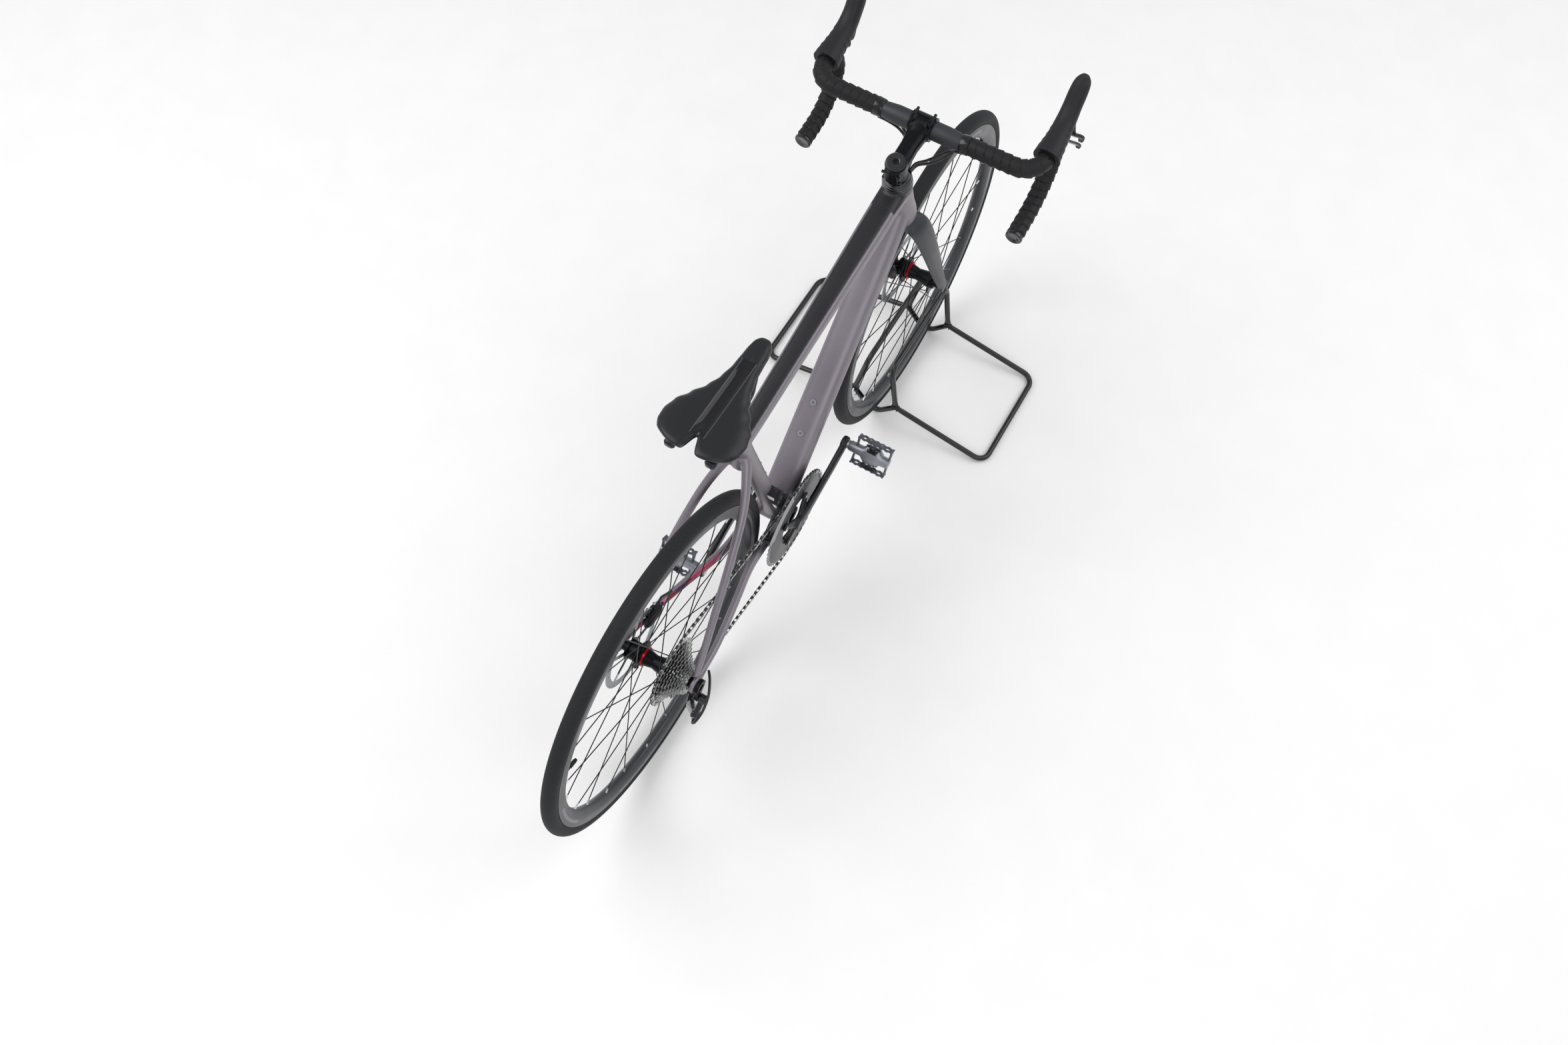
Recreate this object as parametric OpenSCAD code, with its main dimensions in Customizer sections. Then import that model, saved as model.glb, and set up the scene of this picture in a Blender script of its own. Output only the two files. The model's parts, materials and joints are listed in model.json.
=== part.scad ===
// Road bicycle with disc brakes, standing with its front wheel in a welded tube stand.
// +X is forward, +Y is the rider's left, +Z is up. The origin is on the floor, midway
// between the two axles. All sizes are in millimetres.

/* [Wheels] */
// Distance between the two wheel axles
wheelbase = 990; // [975:1:1010]
// Outer diameter of the tyres
tyre_d = 680; // [672:1:688]
// Width of the tyres
tyre_w = 28; // [25:0.5:32]
// Outer diameter of the rim's edge
rim_d = 634; // [632:1:636]
// Depth of the rim
rim_depth = 30; // [22:1:45]
// Outer width of the rim
rim_w = 24; // [22:0.5:27]
// Number of spokes in each wheel
spoke_n = 24; // [20:4:28]
// Diameter of a spoke
spoke_d = 2.0; // [1.6:0.1:2.3]
// Diameter of the brake rotors
rotor_d = 160; // [140:20:160]
// Thickness of the brake rotors
rotor_t = 1.8; // [1.7:0.1:2]
// Diameter of both through axles
axle_d = 12; // [12:1:15]
// Width of the front hub between the fork ends
front_hub_w = 100; // [100:1:110]
// Width of the rear hub between the rear dropouts
rear_hub_w = 142; // [135:1:148]

/* [Frame] */
// Height of the crank axle above the floor
bb_z = 270; // [262:1:280]
// Crank axle's distance behind the middle of the wheelbase
bb_back = 90; // [80:1:100]
// Width of the bottom bracket shell
bb_shell_w = 68; // [66:1:70]
// Head tube angle from the floor, in degrees
head_angle = 72.5; // [71:0.25:74]
// Length of the head tube
head_tube_l = 125; // [110:1:150]
// Distance from the front axle's height to the lower headset, along the steering axis
fork_l = 372; // [365:1:385]
// Distance that the front axle stands ahead of the steering axis
fork_rake = 47; // [43:1:50]
// Seat tube angle from the floor, in degrees
seat_angle = 73.5; // [72:0.25:75]
// Height of the top of the seat tube
seat_tube_z = 705; // [670:1:740]
// Width of the down tube
down_tube_w = 60; // [50:1:66]
// Depth of the down tube
down_tube_d = 44; // [38:1:46]
// Width of the top tube at the head
top_tube_w = 48; // [38:1:54]
// Depth of the top tube
top_tube_d = 36; // [30:1:42]
// Diameter of the seat tube
seat_tube_d = 34; // [33:1:40]

/* [Cockpit] */
// Diameter of the fork's steerer
steerer_d = 28.6; // [28.6:0.1:28.6]
// Length of the stem, from steerer to handlebar
stem_l = 90; // [70:5:120]
// Angle of the stem above the floor, in degrees
stem_rise = 11.5; // [5:0.5:20]
// Diameter of the handlebar in the stem
bar_clamp_d = 31.8; // [31.8:0.1:35]
// Diameter of the handlebar under the tape
bar_d = 24; // [22:0.5:26]
// Width of the handlebar between the middles of its drops
bar_w = 412; // [380:2:440]
// Thickness of the bar tape
tape_t = 3.6; // [2:0.2:4.5]

/* [Saddle] */
// Diameter of the seatpost
seatpost_d = 27.2; // [25.4:0.2:30.9]
// Height of the middle of the saddle rails
rail_z = 842; // [800:1:880]
// Length of the saddle
saddle_l = 237; // [225:1:270]
// Width of the saddle
saddle_w = 143; // [130:1:160]

/* [Drivetrain] */
// Length of the crank arms
crank_l = 172.5; // [165:2.5:175]
// Angle of the right crank arm above the floor, in degrees
crank_turn = 26; // [0:1:359]
// Teeth on the big chainring
big_ring_n = 50; // [48:1:50]
// Teeth on the small chainring
small_ring_n = 34; // [32:1:36]
// Teeth on the largest sprocket
big_cog_n = 32; // [28:1:32]
// Teeth on each derailleur pulley
pulley_n = 11; // [10:1:12]
// Length of a chain link
pitch = 12.7; // [12.7:0.1:12.7]
// Angle of the pedals' platforms above the floor, in degrees
pedal_turn = 62; // [0:1:90]

/* [Stand] */
// Diameter of the stand's tube
stand_tube_d = 12; // [10:1:14]
// Width of the stand between the middles of its outer bars
stand_w = 552; // [480:1:600]
// Length of the stand between the middles of its cross bars
stand_l = 256; // [230:1:290]
// Height of the welded joints of the stand
stand_joint_z = 48; // [44:1:60]
// Distance from the wheel's middle to the welded joints
stand_joint_y = 51; // [46:1:60]
// Height of the rails beside the wheel
stand_rail_z = 181; // [150:1:200]
// Distance from the wheel's middle to the rails
stand_rail_y = 28; // [26:1:36]

/* [Hidden] */
$fn = 64;
tyre_r = tyre_d / 2;
front_x = wheelbase / 2;
rear_x = -wheelbase / 2;
bb = [-bb_back, 0, bb_z];
axle_fit = 0.08;
gap = 0.3;

// Steering axis: its foot is the point nearest the front axle
steer_lean = 90 - head_angle;
steer_foot = [front_x - fork_rake * sin(head_angle), 0, tyre_r - fork_rake * cos(head_angle)];
crown_r = 27;
head_low = fork_l;
head_top = fork_l + head_tube_l;
function on_steer(s) = steer_foot + s * [-cos(head_angle), 0, sin(head_angle)];

// Seat tube axis, measured from the crank axle
function on_seat(t) = bb + t * [-cos(seat_angle), 0, sin(seat_angle)];
seat_top_t = (seat_tube_z - bb_z) / sin(seat_angle);
post_insert = 120;
post_drop = 90;
head_t = (rail_z - bb_z) / sin(seat_angle) - 14;
saddle_x = on_seat(head_t + 14)[0];

// Down tube passes the tyre with a fixed gap
tyre_gap = 17;
bb_to_axle = [front_x - bb[0], tyre_r - bb_z];
down_angle = asin((tyre_r + tyre_gap + down_tube_d / 2) / norm(bb_to_axle))
  + atan2(bb_to_axle[1], bb_to_axle[0]);
down_run = (on_steer(head_low + 42)[0] - bb[0]) / cos(down_angle);
down_top = bb + down_run * [cos(down_angle), 0, sin(down_angle)];
top_front = on_steer(head_top - 26);
top_rear = on_seat(seat_top_t - 19);

// Cockpit heights along the steering axis
cone_h = 16;
spacer_h = 5;
stem_h = 38;
cone_s = head_top + gap;
spacer_s = cone_s + cone_h;
stem_s = spacer_s + spacer_h;
cap_s = stem_s + stem_h;
stem_mid = on_steer(stem_s + stem_h / 2);
bar_c = stem_mid + stem_l * [cos(stem_rise), 0, sin(stem_rise)];

// Handlebar: corner, upper drop arc, lower drop arc, end
corner_r = 38;
drop_r1 = 46;
drop_r2 = 86;
drop_a0 = 0;
drop_a1 = -110;
drop_a2 = -172;
drop_end = 38;
bar_y = bar_w / 2;
drop_0 = [bar_c[0] + corner_r, bar_c[2]];
drop_c1 = drop_0 + drop_r1 * [sin(drop_a0), -cos(drop_a0)];
drop_1 = drop_c1 + drop_r1 * [-sin(drop_a1), cos(drop_a1)];
drop_c2 = drop_1 + drop_r2 * [sin(drop_a1), -cos(drop_a1)];
drop_2 = drop_c2 + drop_r2 * [-sin(drop_a2), cos(drop_a2)];
bar_end = drop_2 + drop_end * [cos(drop_a2), sin(drop_a2)];
tape_y = 80;
taper_y = 46;

// Lever bodies hang on the upper drop arc
lever_pivot = [drop_0[0] + 88, bar_y, drop_0[1] + 22];
lever_tip = [drop_0[0] + 121, bar_y + 20, drop_0[1] - 62];

// Drivetrain planes and pitch circles, in the XZ plane
function pitch_r(n) = pitch / 2 / sin(180 / n);
ring_y = -47;
small_ring_y = -40;
cog_y = -29.5;
cog_step = 3.75;
cog_teeth = [11, 12, 13, 14, 16, 18, 20, 22, 25, 28, big_cog_n];
guide_c = [rear_x + 10, tyre_r - 98];
tension_c = [rear_x + 52, tyre_r - 150];
ring_c = [bb[0], bb[2]];
cog_c = [rear_x, tyre_r];
axle_bore = axle_d / 2 + axle_fit;

// Chain route: each circle has a centre, a signed pitch radius and the chain's Y there
chain_h = 4;
plate_t = 0.8;
plate_y = 1.9;
route = [
  [ring_c, -pitch_r(big_ring_n), ring_y],
  [tension_c, -pitch_r(pulley_n), cog_y],
  [guide_c, pitch_r(pulley_n), cog_y],
  [cog_c, -pitch_r(big_cog_n), cog_y]
];
function heading(a, b) = let (d = b[0] - a[0])
  atan2(d[1], d[0]) - asin((b[1] - a[1]) / norm(d));
function route_at(i) = route[(i + 4) % 4];
function leave(i) = heading(route_at(i), route_at(i + 1));
function meet(i) = heading(route_at(i - 1), route_at(i));
function touch(c, a) = c[0] - c[1] * [-sin(a), cos(a)];
function turned(i) = let (d = leave(i) - meet(i), s = sign(route_at(i)[1]))
  s > 0 ? (d + 720) % 360 : -((720 - d) % 360);
arc_steps = [22, 10, 6, 18];
steady = 42;
function run_start(i) = touch(route_at(i), leave(i));
function run_end(i) = touch(route_at(i + 1), meet(i + 1));
function run_point(i, d) =
  let (
    a = run_start(i),
    b = run_end(i),
    f = min(1, max(0, (d - steady) / (norm(b - a) - 2 * steady))),
    p = a + (b - a) * d / norm(b - a)
  )
    [p[0], route_at(i)[2] + (route_at(i + 1)[2] - route_at(i)[2]) * f, p[1]];
function run_length(i) = norm(run_end(i) - run_start(i));
chain_line = [
  for (i = [0:3])
    for (p = concat(
      [for (k = [0:arc_steps[i]])
        let (q = touch(route_at(i), meet(i) + turned(i) * k / arc_steps[i]))
          [q[0], route_at(i)[2], q[1]]],
      i == 0 || i == 3 ? [run_point(i, steady), run_point(i, run_length(i) - steady)] : []
    ))
      p
];

// Brake hose and shift housing routes, from bar to headset and from stays to callipers
hose_d = 5;
hose_routes = [
  [[372, 79, 840], [374, 62, 837], [379, 44, 827], [374, 26, 819], [352, 8, 816], [332, -5, 818],
    [315, -8, 816.5]],
  [[381, 79, 841], [388, 62, 834], [394, 44, 818], [386, 24, 805], [360, 6, 803], [336, -5, 811],
    [317, -8, 811]],
  [[372, -79, 840], [376, -66, 834], [382, -54, 822], [376, -42, 813], [352, -28, 814],
    [332, -16, 818], [315, -14, 816.5]],
  [[381, -79, 841], [392, -68, 831], [398, -58, 812], [388, -46, 799], [362, -32, 801],
    [337, -18, 811], [317, -14, 811]]
];
front_hose = [[411.5, 52.5, 467.5], [408.5, 50.5, 455], [407, 47, 441], [412, 43, 430], [419, 40, 421]];
rear_hose = [[-360, 57, 326], [-372, 60, 333], [-386, 61, 345], [-400, 58, 352]];
shift_loop = [[-458, -82, 330], [-474, -94, 336], [-500, -107, 336], [-526, -111, 326], [-544, -107, 311],
  [-546, -101, 299], [-537, -98, 291]];

// ---- shared shapes ----

// Round rod from a to b
module rod(a, b, r) {
  d = b - a;
  translate(a)
    rotate([0, acos(d[2] / norm(d)), atan2(d[1], d[0])])
      cylinder(h = norm(d), r = r);
}

module ring_2d(r, bore) {
  difference() {
    circle(r = r);
    if (bore > 0)
      circle(r = bore);
  }
}

// Thin oval slice across a tube that runs at an angle in the XZ plane
module oval(p, angle, w, d) {
  translate(p)
    rotate([0, 90 - angle, 0])
      scale([d, w, 1])
        cylinder(h = 1, d = 1, center = true, $fn = 32);
}

// Straight tube between two oval ends
module oval_tube(p, q, w1, d1, w2, d2) {
  angle = atan2(q[2] - p[2], q[0] - p[0]);
  hull() {
    oval(p, angle, w1, d1);
    oval(q, angle, w2, d2);
  }
}

// Limb between two balls, each [point, radius]
limb_n = 20;
module limb(a, b) {
  hull() {
    translate(a[0])
      sphere(r = a[1], $fn = limb_n);
    translate(b[0])
      sphere(r = b[1], $fn = limb_n);
  }
}

// Frame of the fork: Z along the steering axis, X forwards
module in_steer() {
  translate(steer_foot)
    rotate([0, -steer_lean, 0])
      children();
}

// Frame of the seat tube: Z along its axis from the crank axle
module in_seat() {
  translate(bb)
    rotate([0, -(90 - seat_angle), 0])
      children();
}

// Frame of a wheel or sprocket: Z along +Y, so that profiles spin about the axle
module about_y(x, y, z) {
  translate([x, y, z])
    rotate([-90, 0, 0])
      children();
}

// Flat plate drawn in the XZ plane, from y to y + t
module slab_y(y, t) {
  translate([0, y + t, 0])
    rotate([90, 0, 0])
      linear_extrude(t)
        children();
}

module both_sides() {
  for (s = [0, 1])
    mirror([0, s, 0])
      children();
}

// Points of an arc in a plane: centre, radius, first and last angle, and steps
function arc_points(c, r, a0, a1, n) = [
  for (k = [0:n])
    let (a = a0 + (a1 - a0) * k / n)
      c + r * [cos(a), sin(a)]
];

// Toothed wheel outline: four points for each tooth
module teeth_2d(n) {
  root = pitch_r(n) - 2.9;
  tip = pitch_r(n) + 3.1;
  step = 360 / n;
  polygon([
    for (i = [0:n - 1], k = [0:3])
      let (a = (i + [-0.34, -0.1, 0.1, 0.34][k]) * step, r = (k == 0 || k == 3) ? root : tip)
        r * [cos(a), sin(a)]
  ]);
}

// Tube swept along points with a fixed number of sides
function unit(v) = v / norm(v);
function along(p, i) = unit(p[min(i + 1, len(p) - 1)] - p[max(i - 1, 0)]);
function smooth(p, n) = [
  for (i = [0:len(p) - 2], k = [0:n - 1])
    let (
      t = k / n,
      a = p[max(i - 1, 0)],
      b = p[i],
      c = p[i + 1],
      d = p[min(i + 2, len(p) - 1)]
    )
      0.5 * (2 * b + (c - a) * t + (2 * a - 5 * b + 4 * c - d) * t * t
        + (3 * b - a - 3 * c + d) * t * t * t),
  p[len(p) - 1]
];
function first_side(t) = unit(cross(t, abs(t[2]) < 0.9 ? [0, 0, 1] : [1, 0, 0]));
function carried(p, i, last) = i == len(p) ? [] :
  let (t = along(p, i), side = unit(last - (last * t) * t))
    concat([side], carried(p, i + 1, side));
module swept(points, r, sides = 8) {
  n = len(points);
  across = carried(points, 0, first_side(along(points, 0)));
  rings = [
    for (i = [0:n - 1], k = [0:sides - 1])
      let (up = cross(across[i], along(points, i)), a = k * 360 / sides)
        points[i] + r * (cos(a) * across[i] + sin(a) * up)
  ];
  walls = [
    for (i = [0:n - 2], k = [0:sides - 1])
      let (a = i * sides + k, b = i * sides + (k + 1) % sides)
        [a, b, b + sides, a + sides]
  ];
  start = [for (k = [sides - 1:-1:0]) k];
  end = [for (k = [0:sides - 1]) (n - 1) * sides + k];
  polyhedron(rings, concat(walls, [start, end]), convexity = 6);
}

// ---- frame ----

// Front triangle: tubes, head tube and bottom bracket shell, moulded as one
module front_triangle() {
  color("#4b464c")
    difference() {
      union() {
        oval_tube(bb + [14, 0, 14], down_top, down_tube_w, down_tube_d, down_tube_w - 8, down_tube_d);
        oval_tube(top_rear, top_front, top_tube_w - 14, top_tube_d - 6, top_tube_w, top_tube_d);
        in_seat()
          cylinder(h = seat_top_t, d = seat_tube_d);
        in_steer()
          head_tube();
        about_y(bb[0], -bb_shell_w / 2, bb[2])
          cylinder(h = bb_shell_w, r = 24);
      }
      in_steer() {
        translate([0, 0, head_low - 40])
          cylinder(h = 40, r = crown_r + 2);
        translate([0, 0, head_low - 1])
          cylinder(h = 9, r = 26.05);
        translate([0, 0, head_low])
          cylinder(h = head_tube_l, r = 20.6);
        translate([0, 0, head_top - 8])
          cylinder(h = 40, r = 21.05);
      }
      in_seat()
        translate([0, 0, seat_top_t - post_insert - post_drop - 6])
          cylinder(h = 400, r = seatpost_d / 2 + 0.05);
      about_y(bb[0], -bb_shell_w / 2 - 1, bb[2])
        cylinder(h = bb_shell_w + 2, r = 17.1);
      wedge_pocket();
      boss_holes();
    }
}

module head_tube() {
  rotate_extrude()
    polygon([[0, head_low], [30, head_low], [30, head_low + 18], [26.5, head_low + 45],
      [25, head_top - 30], [26.5, head_top - 8], [26.5, head_top], [0, head_top]]);
}

// Pocket in front of the seatpost for its clamping wedge
module wedge_pocket() {
  in_seat()
    translate([seatpost_d / 2 - 4, -6.1, seat_top_t - 21])
      cube([9.1, 12.2, 60]);
}

boss_r = 4.6;
boss_thread_r = 2.5;
boss_l = 11;
bottle_on_down = [165, 229];
bottle_on_seat = [205, 269];
module at_bosses() {
  for (t = bottle_on_down)
    translate(bb + t * [cos(down_angle), 0, sin(down_angle)])
      rotate([0, -down_angle, 0])
        translate([0, 0, down_tube_d / 2])
          children();
  for (t = bottle_on_seat)
    in_seat()
      translate([seat_tube_d / 2, 0, t])
        rotate([0, 90, 0])
          children();
}

module boss_holes() {
  at_bosses()
    translate([0, 0, -boss_l])
      rotate([0, 0, 7.5])
        cylinder(h = boss_l + 10, r = boss_r + 0.1, $fn = 24);
}

// Four threaded inserts that take a bottle cage
module bottle_bosses() {
  color("#a9abae")
    at_bosses()
      difference() {
        union() {
          translate([0, 0, -boss_l + 0.5])
            cylinder(h = boss_l, r = boss_r);
          translate([0, 0, 0.6])
            cylinder(h = 0.9, r = 6);
        }
        translate([0, 0, -boss_l])
          cylinder(h = boss_l + 10, r = boss_thread_r);
      }
}

// Chainstays with the two dropouts that hold the rear axle
stay_front = [[bb[0] - 14, 27, bb[2] - 2], [rear_x + 265, 31, bb[2] + 16]];
stay_back = [[rear_x + 85, 67.5, tyre_r - 16], [rear_x + 16, 74.5, tyre_r - 3]];
module chainstays() {
  color("#4b464c")
    difference() {
      both_sides() {
        limb([stay_front[0], 9], [stay_front[1], 8]);
        limb([stay_front[1], 8], [stay_back[0], 8]);
        limb([stay_back[0], 7.5], [stay_back[1], 6.4]);
        about_y(rear_x, rear_hub_w / 2 + gap, tyre_r)
          cylinder(h = 10, r = 17);
      }
      about_y(rear_x, -120, tyre_r)
        cylinder(h = 240, r = axle_bore);
      about_y(bb[0], -60, bb[2])
        cylinder(h = 120, r = 24.1);
      about_y(rear_x, -rear_hub_w / 2 - gap, tyre_r)
        cylinder(h = rear_hub_w + 2 * gap, r = 30);
    }
}

// Seatstays, joined low on the seat tube
seat_join = on_seat(385);
module seatstays() {
  color("#4b464c")
    difference() {
      union() {
        both_sides() {
          limb([seat_join + [-16, 15, 0], 8.5], [[rear_x + 170, 53, 528], 8]);
          limb([[rear_x + 170, 53, 528], 8], [[rear_x + 62, 68, 417], 7.5]);
          limb([[rear_x + 62, 68, 417], 7.5], [[rear_x + 10, 75, tyre_r + 24], 6]);
        }
        limb([seat_join + [-12, 0, 18], 14], [seat_join + [-12, 0, -4], 15]);
      }
      in_seat()
        cylinder(h = seat_top_t + 60, d = seat_tube_d + 0.1);
    }
}

// Two ball bearings pressed into the ends of the head tube
module headset_bearings() {
  color("#8a8d91")
    in_steer() {
      bearing_ring(head_low, 7, 20.08, 26);
      bearing_ring(head_top - 7.6, 7, steerer_d / 2 + 0.06, 21);
    }
}

module bearing_ring(s, h, r_in, r_out) {
  translate([0, 0, s])
    difference() {
      cylinder(h = h, r = r_out);
      translate([0, 0, -1])
        cylinder(h = h + 2, r = r_in);
    }
}

// Bottom bracket: two threaded cups with bearings, and the sleeve between them
cup_w = 8;
crank_axle_r = 12;
module bottom_bracket() {
  color("#202225")
    about_y(bb[0], 0, bb[2])
      difference() {
        union() {
          translate([0, 0, -bb_shell_w / 2 - cup_w])
            cylinder(h = cup_w - gap, r = 22);
          translate([0, 0, bb_shell_w / 2 + gap])
            cylinder(h = cup_w - gap, r = 22);
          translate([0, 0, -bb_shell_w / 2 - 1])
            cylinder(h = bb_shell_w + 2, r = 17);
        }
        cylinder(h = 200, r = crank_axle_r + 0.06, center = true);
      }
}

// Wedge and bolt that clamp the seatpost
module seatpost_wedge() {
  color("#26272a")
    in_seat()
      translate([seatpost_d / 2 + 0.3, -6, seat_top_t - 20])
        difference() {
          cube([4.6, 12, 20]);
          translate([2.3, 6, 14])
            cylinder(h = 10, r = 1.6, $fn = 6);
        }
}

// Rear through axle, screwed into the right dropout
module rear_axle() {
  color("#1b1c1e")
    about_y(rear_x, -rear_hub_w / 2 - 9, tyre_r)
      difference() {
        union() {
          cylinder(h = rear_hub_w + 20, r = axle_d / 2);
          translate([0, 0, rear_hub_w + 20])
            cylinder(h = 3, r = 9.5);
        }
        translate([0, 0, rear_hub_w + 16])
          cylinder(h = 10, r = 3, $fn = 6);
      }
}

// ---- brakes ----

// Flat-mount calliper body along X, with the cap over its outer piston
module caliper(len, inner, outer, tall) {
  translate([-len / 2, inner, -tall / 2])
    cube([len, outer - inner, tall]);
  translate([-len * 0.1, outer, 0])
    rotate([-90, 0, 0])
      cylinder(h = 3, r = tall * 0.36);
}

rotor_front_y = front_hub_w / 2 - 11;
rotor_rear_y = rear_hub_w / 2 - 15.5;
rotor_slot_t = rotor_t + 1.6;
rotor_slot_r = rotor_d / 2 + 1.5;
module rear_brake_caliper() {
  color("#232427")
    difference() {
      translate([rear_x + 67, 0, tyre_r + 16])
        rotate([0, 10, 0])
          caliper(50, rotor_rear_y - 12.5, rotor_rear_y + 9, 22);
      about_y(rear_x, rotor_rear_y - rotor_slot_t / 2, tyre_r)
        cylinder(h = rotor_slot_t, r = rotor_slot_r);
    }
}

module front_brake_caliper() {
  color("#232427")
    in_steer()
      difference() {
        translate([fork_rake - 41, 0, 62])
          rotate([0, -98, 0])
            caliper(54, rotor_front_y - 11.5, rotor_front_y + 12, 22);
        about_y(fork_rake, rotor_front_y - rotor_slot_t / 2, 0)
          cylinder(h = rotor_slot_t, r = rotor_slot_r);
      }
}

// Rear brake hose from the chainstay, and the shift housing that loops to the derailleur
module frame_hoses() {
  color("#151515") {
    swept(smooth(rear_hose, 4), hose_d / 2);
    swept(smooth(shift_loop, 4), hose_d / 2);
  }
}

// Hoses from the handlebar into the headset cone, and the front brake hose
module fork_hoses() {
  color("#151515") {
    for (route = hose_routes)
      swept(smooth(route, 3), hose_d / 2);
    swept(smooth(front_hose, 4), hose_d / 2);
  }
}

// ---- gears ----

// Replaceable hanger bolted inside the right dropout
module derailleur_hanger() {
  color("#303236")
    slab_y(-rear_hub_w / 2 - 18.5, 7)
      union() {
        translate([rear_x - 8, tyre_r - 28])
          circle(r = 9);
        translate([rear_x, tyre_r])
          ring_2d(15, axle_bore + 2);
        polygon([[rear_x - 15, tyre_r - 26], [rear_x - 11, tyre_r - 8.5], [rear_x + 7, tyre_r - 11],
          [rear_x - 2, tyre_r - 27]]);
      }
}

// Rear derailleur: upper knuckle on the hanger, slanted body and lower knuckle
hanger_face = -rear_hub_w / 2 - 18.5;
upper_knuckle = [rear_x - 8, hanger_face - 7.5, tyre_r - 28];
lower_knuckle = [tension_c[0] - 34, -58, tension_c[1] + 44];
body_elbow = upper_knuckle + [-24, 2, -24];
module rear_derailleur() {
  color("#2b2c30")
    difference() {
      union() {
        limb([upper_knuckle, 6.5], [body_elbow, 7.5]);
        limb([body_elbow, 7.5], [lower_knuckle + [-21, -6, -2], 8.5]);
        limb([lower_knuckle + [-21, -6, -2], 8.5], [lower_knuckle, 9]);
        about_y(upper_knuckle[0], upper_knuckle[1] - 8, upper_knuckle[2])
          cylinder(h = 15.2, r = 7);
      }
      about_y(lower_knuckle[0], lower_knuckle[1] + 5, lower_knuckle[2])
        cylinder(h = 30, r = 20);
    }
}

// Cage: inner and outer plates with the two pulley bolts
cage_in = cog_y + 5.2;
cage_out = cog_y - 6.8;
module derailleur_cage() {
  color("#33353a") {
    for (y = [cage_in, cage_out])
      slab_y(y, 1.6)
        cage_outline();
    for (c = [guide_c, tension_c])
      about_y(c[0], cage_out + 1, c[1])
        cylinder(h = cage_in - cage_out, r = 2.5);
    about_y(lower_knuckle[0], lower_knuckle[1] + 5.2, lower_knuckle[2])
      cylinder(h = cage_out - lower_knuckle[1] - 5, r = 8);
  }
}

module cage_outline() {
  side = [lower_knuckle[0], lower_knuckle[2]];
  difference() {
    union() {
      translate(guide_c)
        circle(r = 11);
      translate(tension_c)
        circle(r = 11);
      translate(side)
        circle(r = 10);
      polygon([guide_c + [-11, 0], guide_c + [8, 8], tension_c + [9, 7], tension_c + [-8, -8], side + [-10, -3]]);
    }
    translate((guide_c + tension_c) / 2)
      circle(r = 9);
  }
}

module pulley(c) {
  about_y(c[0], cog_y - 1, c[1])
    difference() {
      linear_extrude(2)
        difference() {
          teeth_2d(pulley_n);
          circle(r = 2.58);
        }
      for (i = [0:4])
        rotate(i * 72)
          translate([11, 0, -1])
            cylinder(h = 4, r = 3.4);
    }
}

module guide_pulley() {
  color("#17181a")
    pulley(guide_c);
}

module tension_pulley() {
  color("#17181a")
    pulley(tension_c);
}

// Front derailleur: mount on the seat tube, linkage and the two cage plates
module front_derailleur() {
  color("#3a3b3f") {
    cage_plate(-53.6, 100, 146, 107.5, 134);
    cage_plate(-38, 98, 148, 98, 136);
    for (a = [101, 143])
      translate(bb)
        rotate([0, -a, 0])
          translate([124, -53, 0])
            cube([5, 16, 5]);
    fd_link();
  }
}

module cage_plate(y, a0, a1, r0, r1) {
  slab_y(y, 1.2)
    translate(ring_c)
      polygon(concat(
        [for (k = [0:8]) let (a = a0 + (a1 - a0) * k / 8) r0 * [cos(a), sin(a)]],
        [for (k = [8:-1:0]) let (a = a0 + (a1 - a0) * k / 8) r1 * [cos(a), sin(a)]]
      ));
}

// Band mount on the seat tube, and the link that carries the cage
fd_t = 146;
module fd_link() {
  difference() {
    in_seat() {
      translate([-10, -30, fd_t - 14])
        cube([20, 20, 28]);
      translate([-18, -37.5, fd_t - 24])
        cube([30, 8, 26]);
    }
    in_seat()
      cylinder(h = 400, d = seat_tube_d + 0.1);
  }
}

// Chain side plates: two closed bands along the chain's route
module chain_plates() {
  color("#9a9b9c")
    for (y = [plate_y, -plate_y - plate_t])
      chain_band(y);
}

module chain_band(y) {
  n = len(chain_line);
  function side(i) = let (
    a = chain_line[(i + n - 1) % n],
    b = chain_line[(i + 1) % n],
    d = unit([b[0] - a[0], 0, b[2] - a[2]])
  ) [-d[2], 0, d[0]];
  points = [
    for (i = [0:n - 1], c = [[-1, 0], [1, 0], [1, 1], [-1, 1]])
      chain_line[i] + c[0] * chain_h * side(i) + [0, y + c[1] * plate_t, 0]
  ];
  faces = [
    for (i = [0:n - 1], k = [0:3])
      let (a = 4 * i + k, b = 4 * i + (k + 1) % 4, c = 4 * ((i + 1) % n) + (k + 1) % 4, d = 4 * ((i + 1) % n) + k)
        for (t = [[a, b, c], [a, c, d]]) t
  ];
  polyhedron(points, faces, convexity = 8);
}

// Chain rollers on the two straight runs, one pitch apart
module chain_rollers() {
  color("#77787a")
    for (i = [0, 3]) {
      n = floor(run_length(i) / pitch);
      for (k = [3:n - 3]) {
        p = run_point(i, run_length(i) * k / n);
        about_y(p[0], p[1] - plate_y, p[2])
          cylinder(h = 2 * plate_y, r = 3, $fn = 16);
      }
    }
}

// Sprocket cluster on the freehub
module cassette() {
  color("#b9babc")
    about_y(rear_x, 0, tyre_r)
      difference() {
        union() {
          for (i = [0:10])
            translate([0, 0, cog_y - (10 - i) * cog_step - 0.8])
              linear_extrude(1.6)
                teeth_2d(cog_teeth[i]);
          translate([0, 0, cog_y - 10 * cog_step - 0.8])
            cylinder(h = 10 * cog_step + 1.6, r = 18.4);
        }
        translate([0, 0, -100])
          cylinder(h = 100, r = 16.05);
      }
}

// ---- fork and cockpit ----

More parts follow.
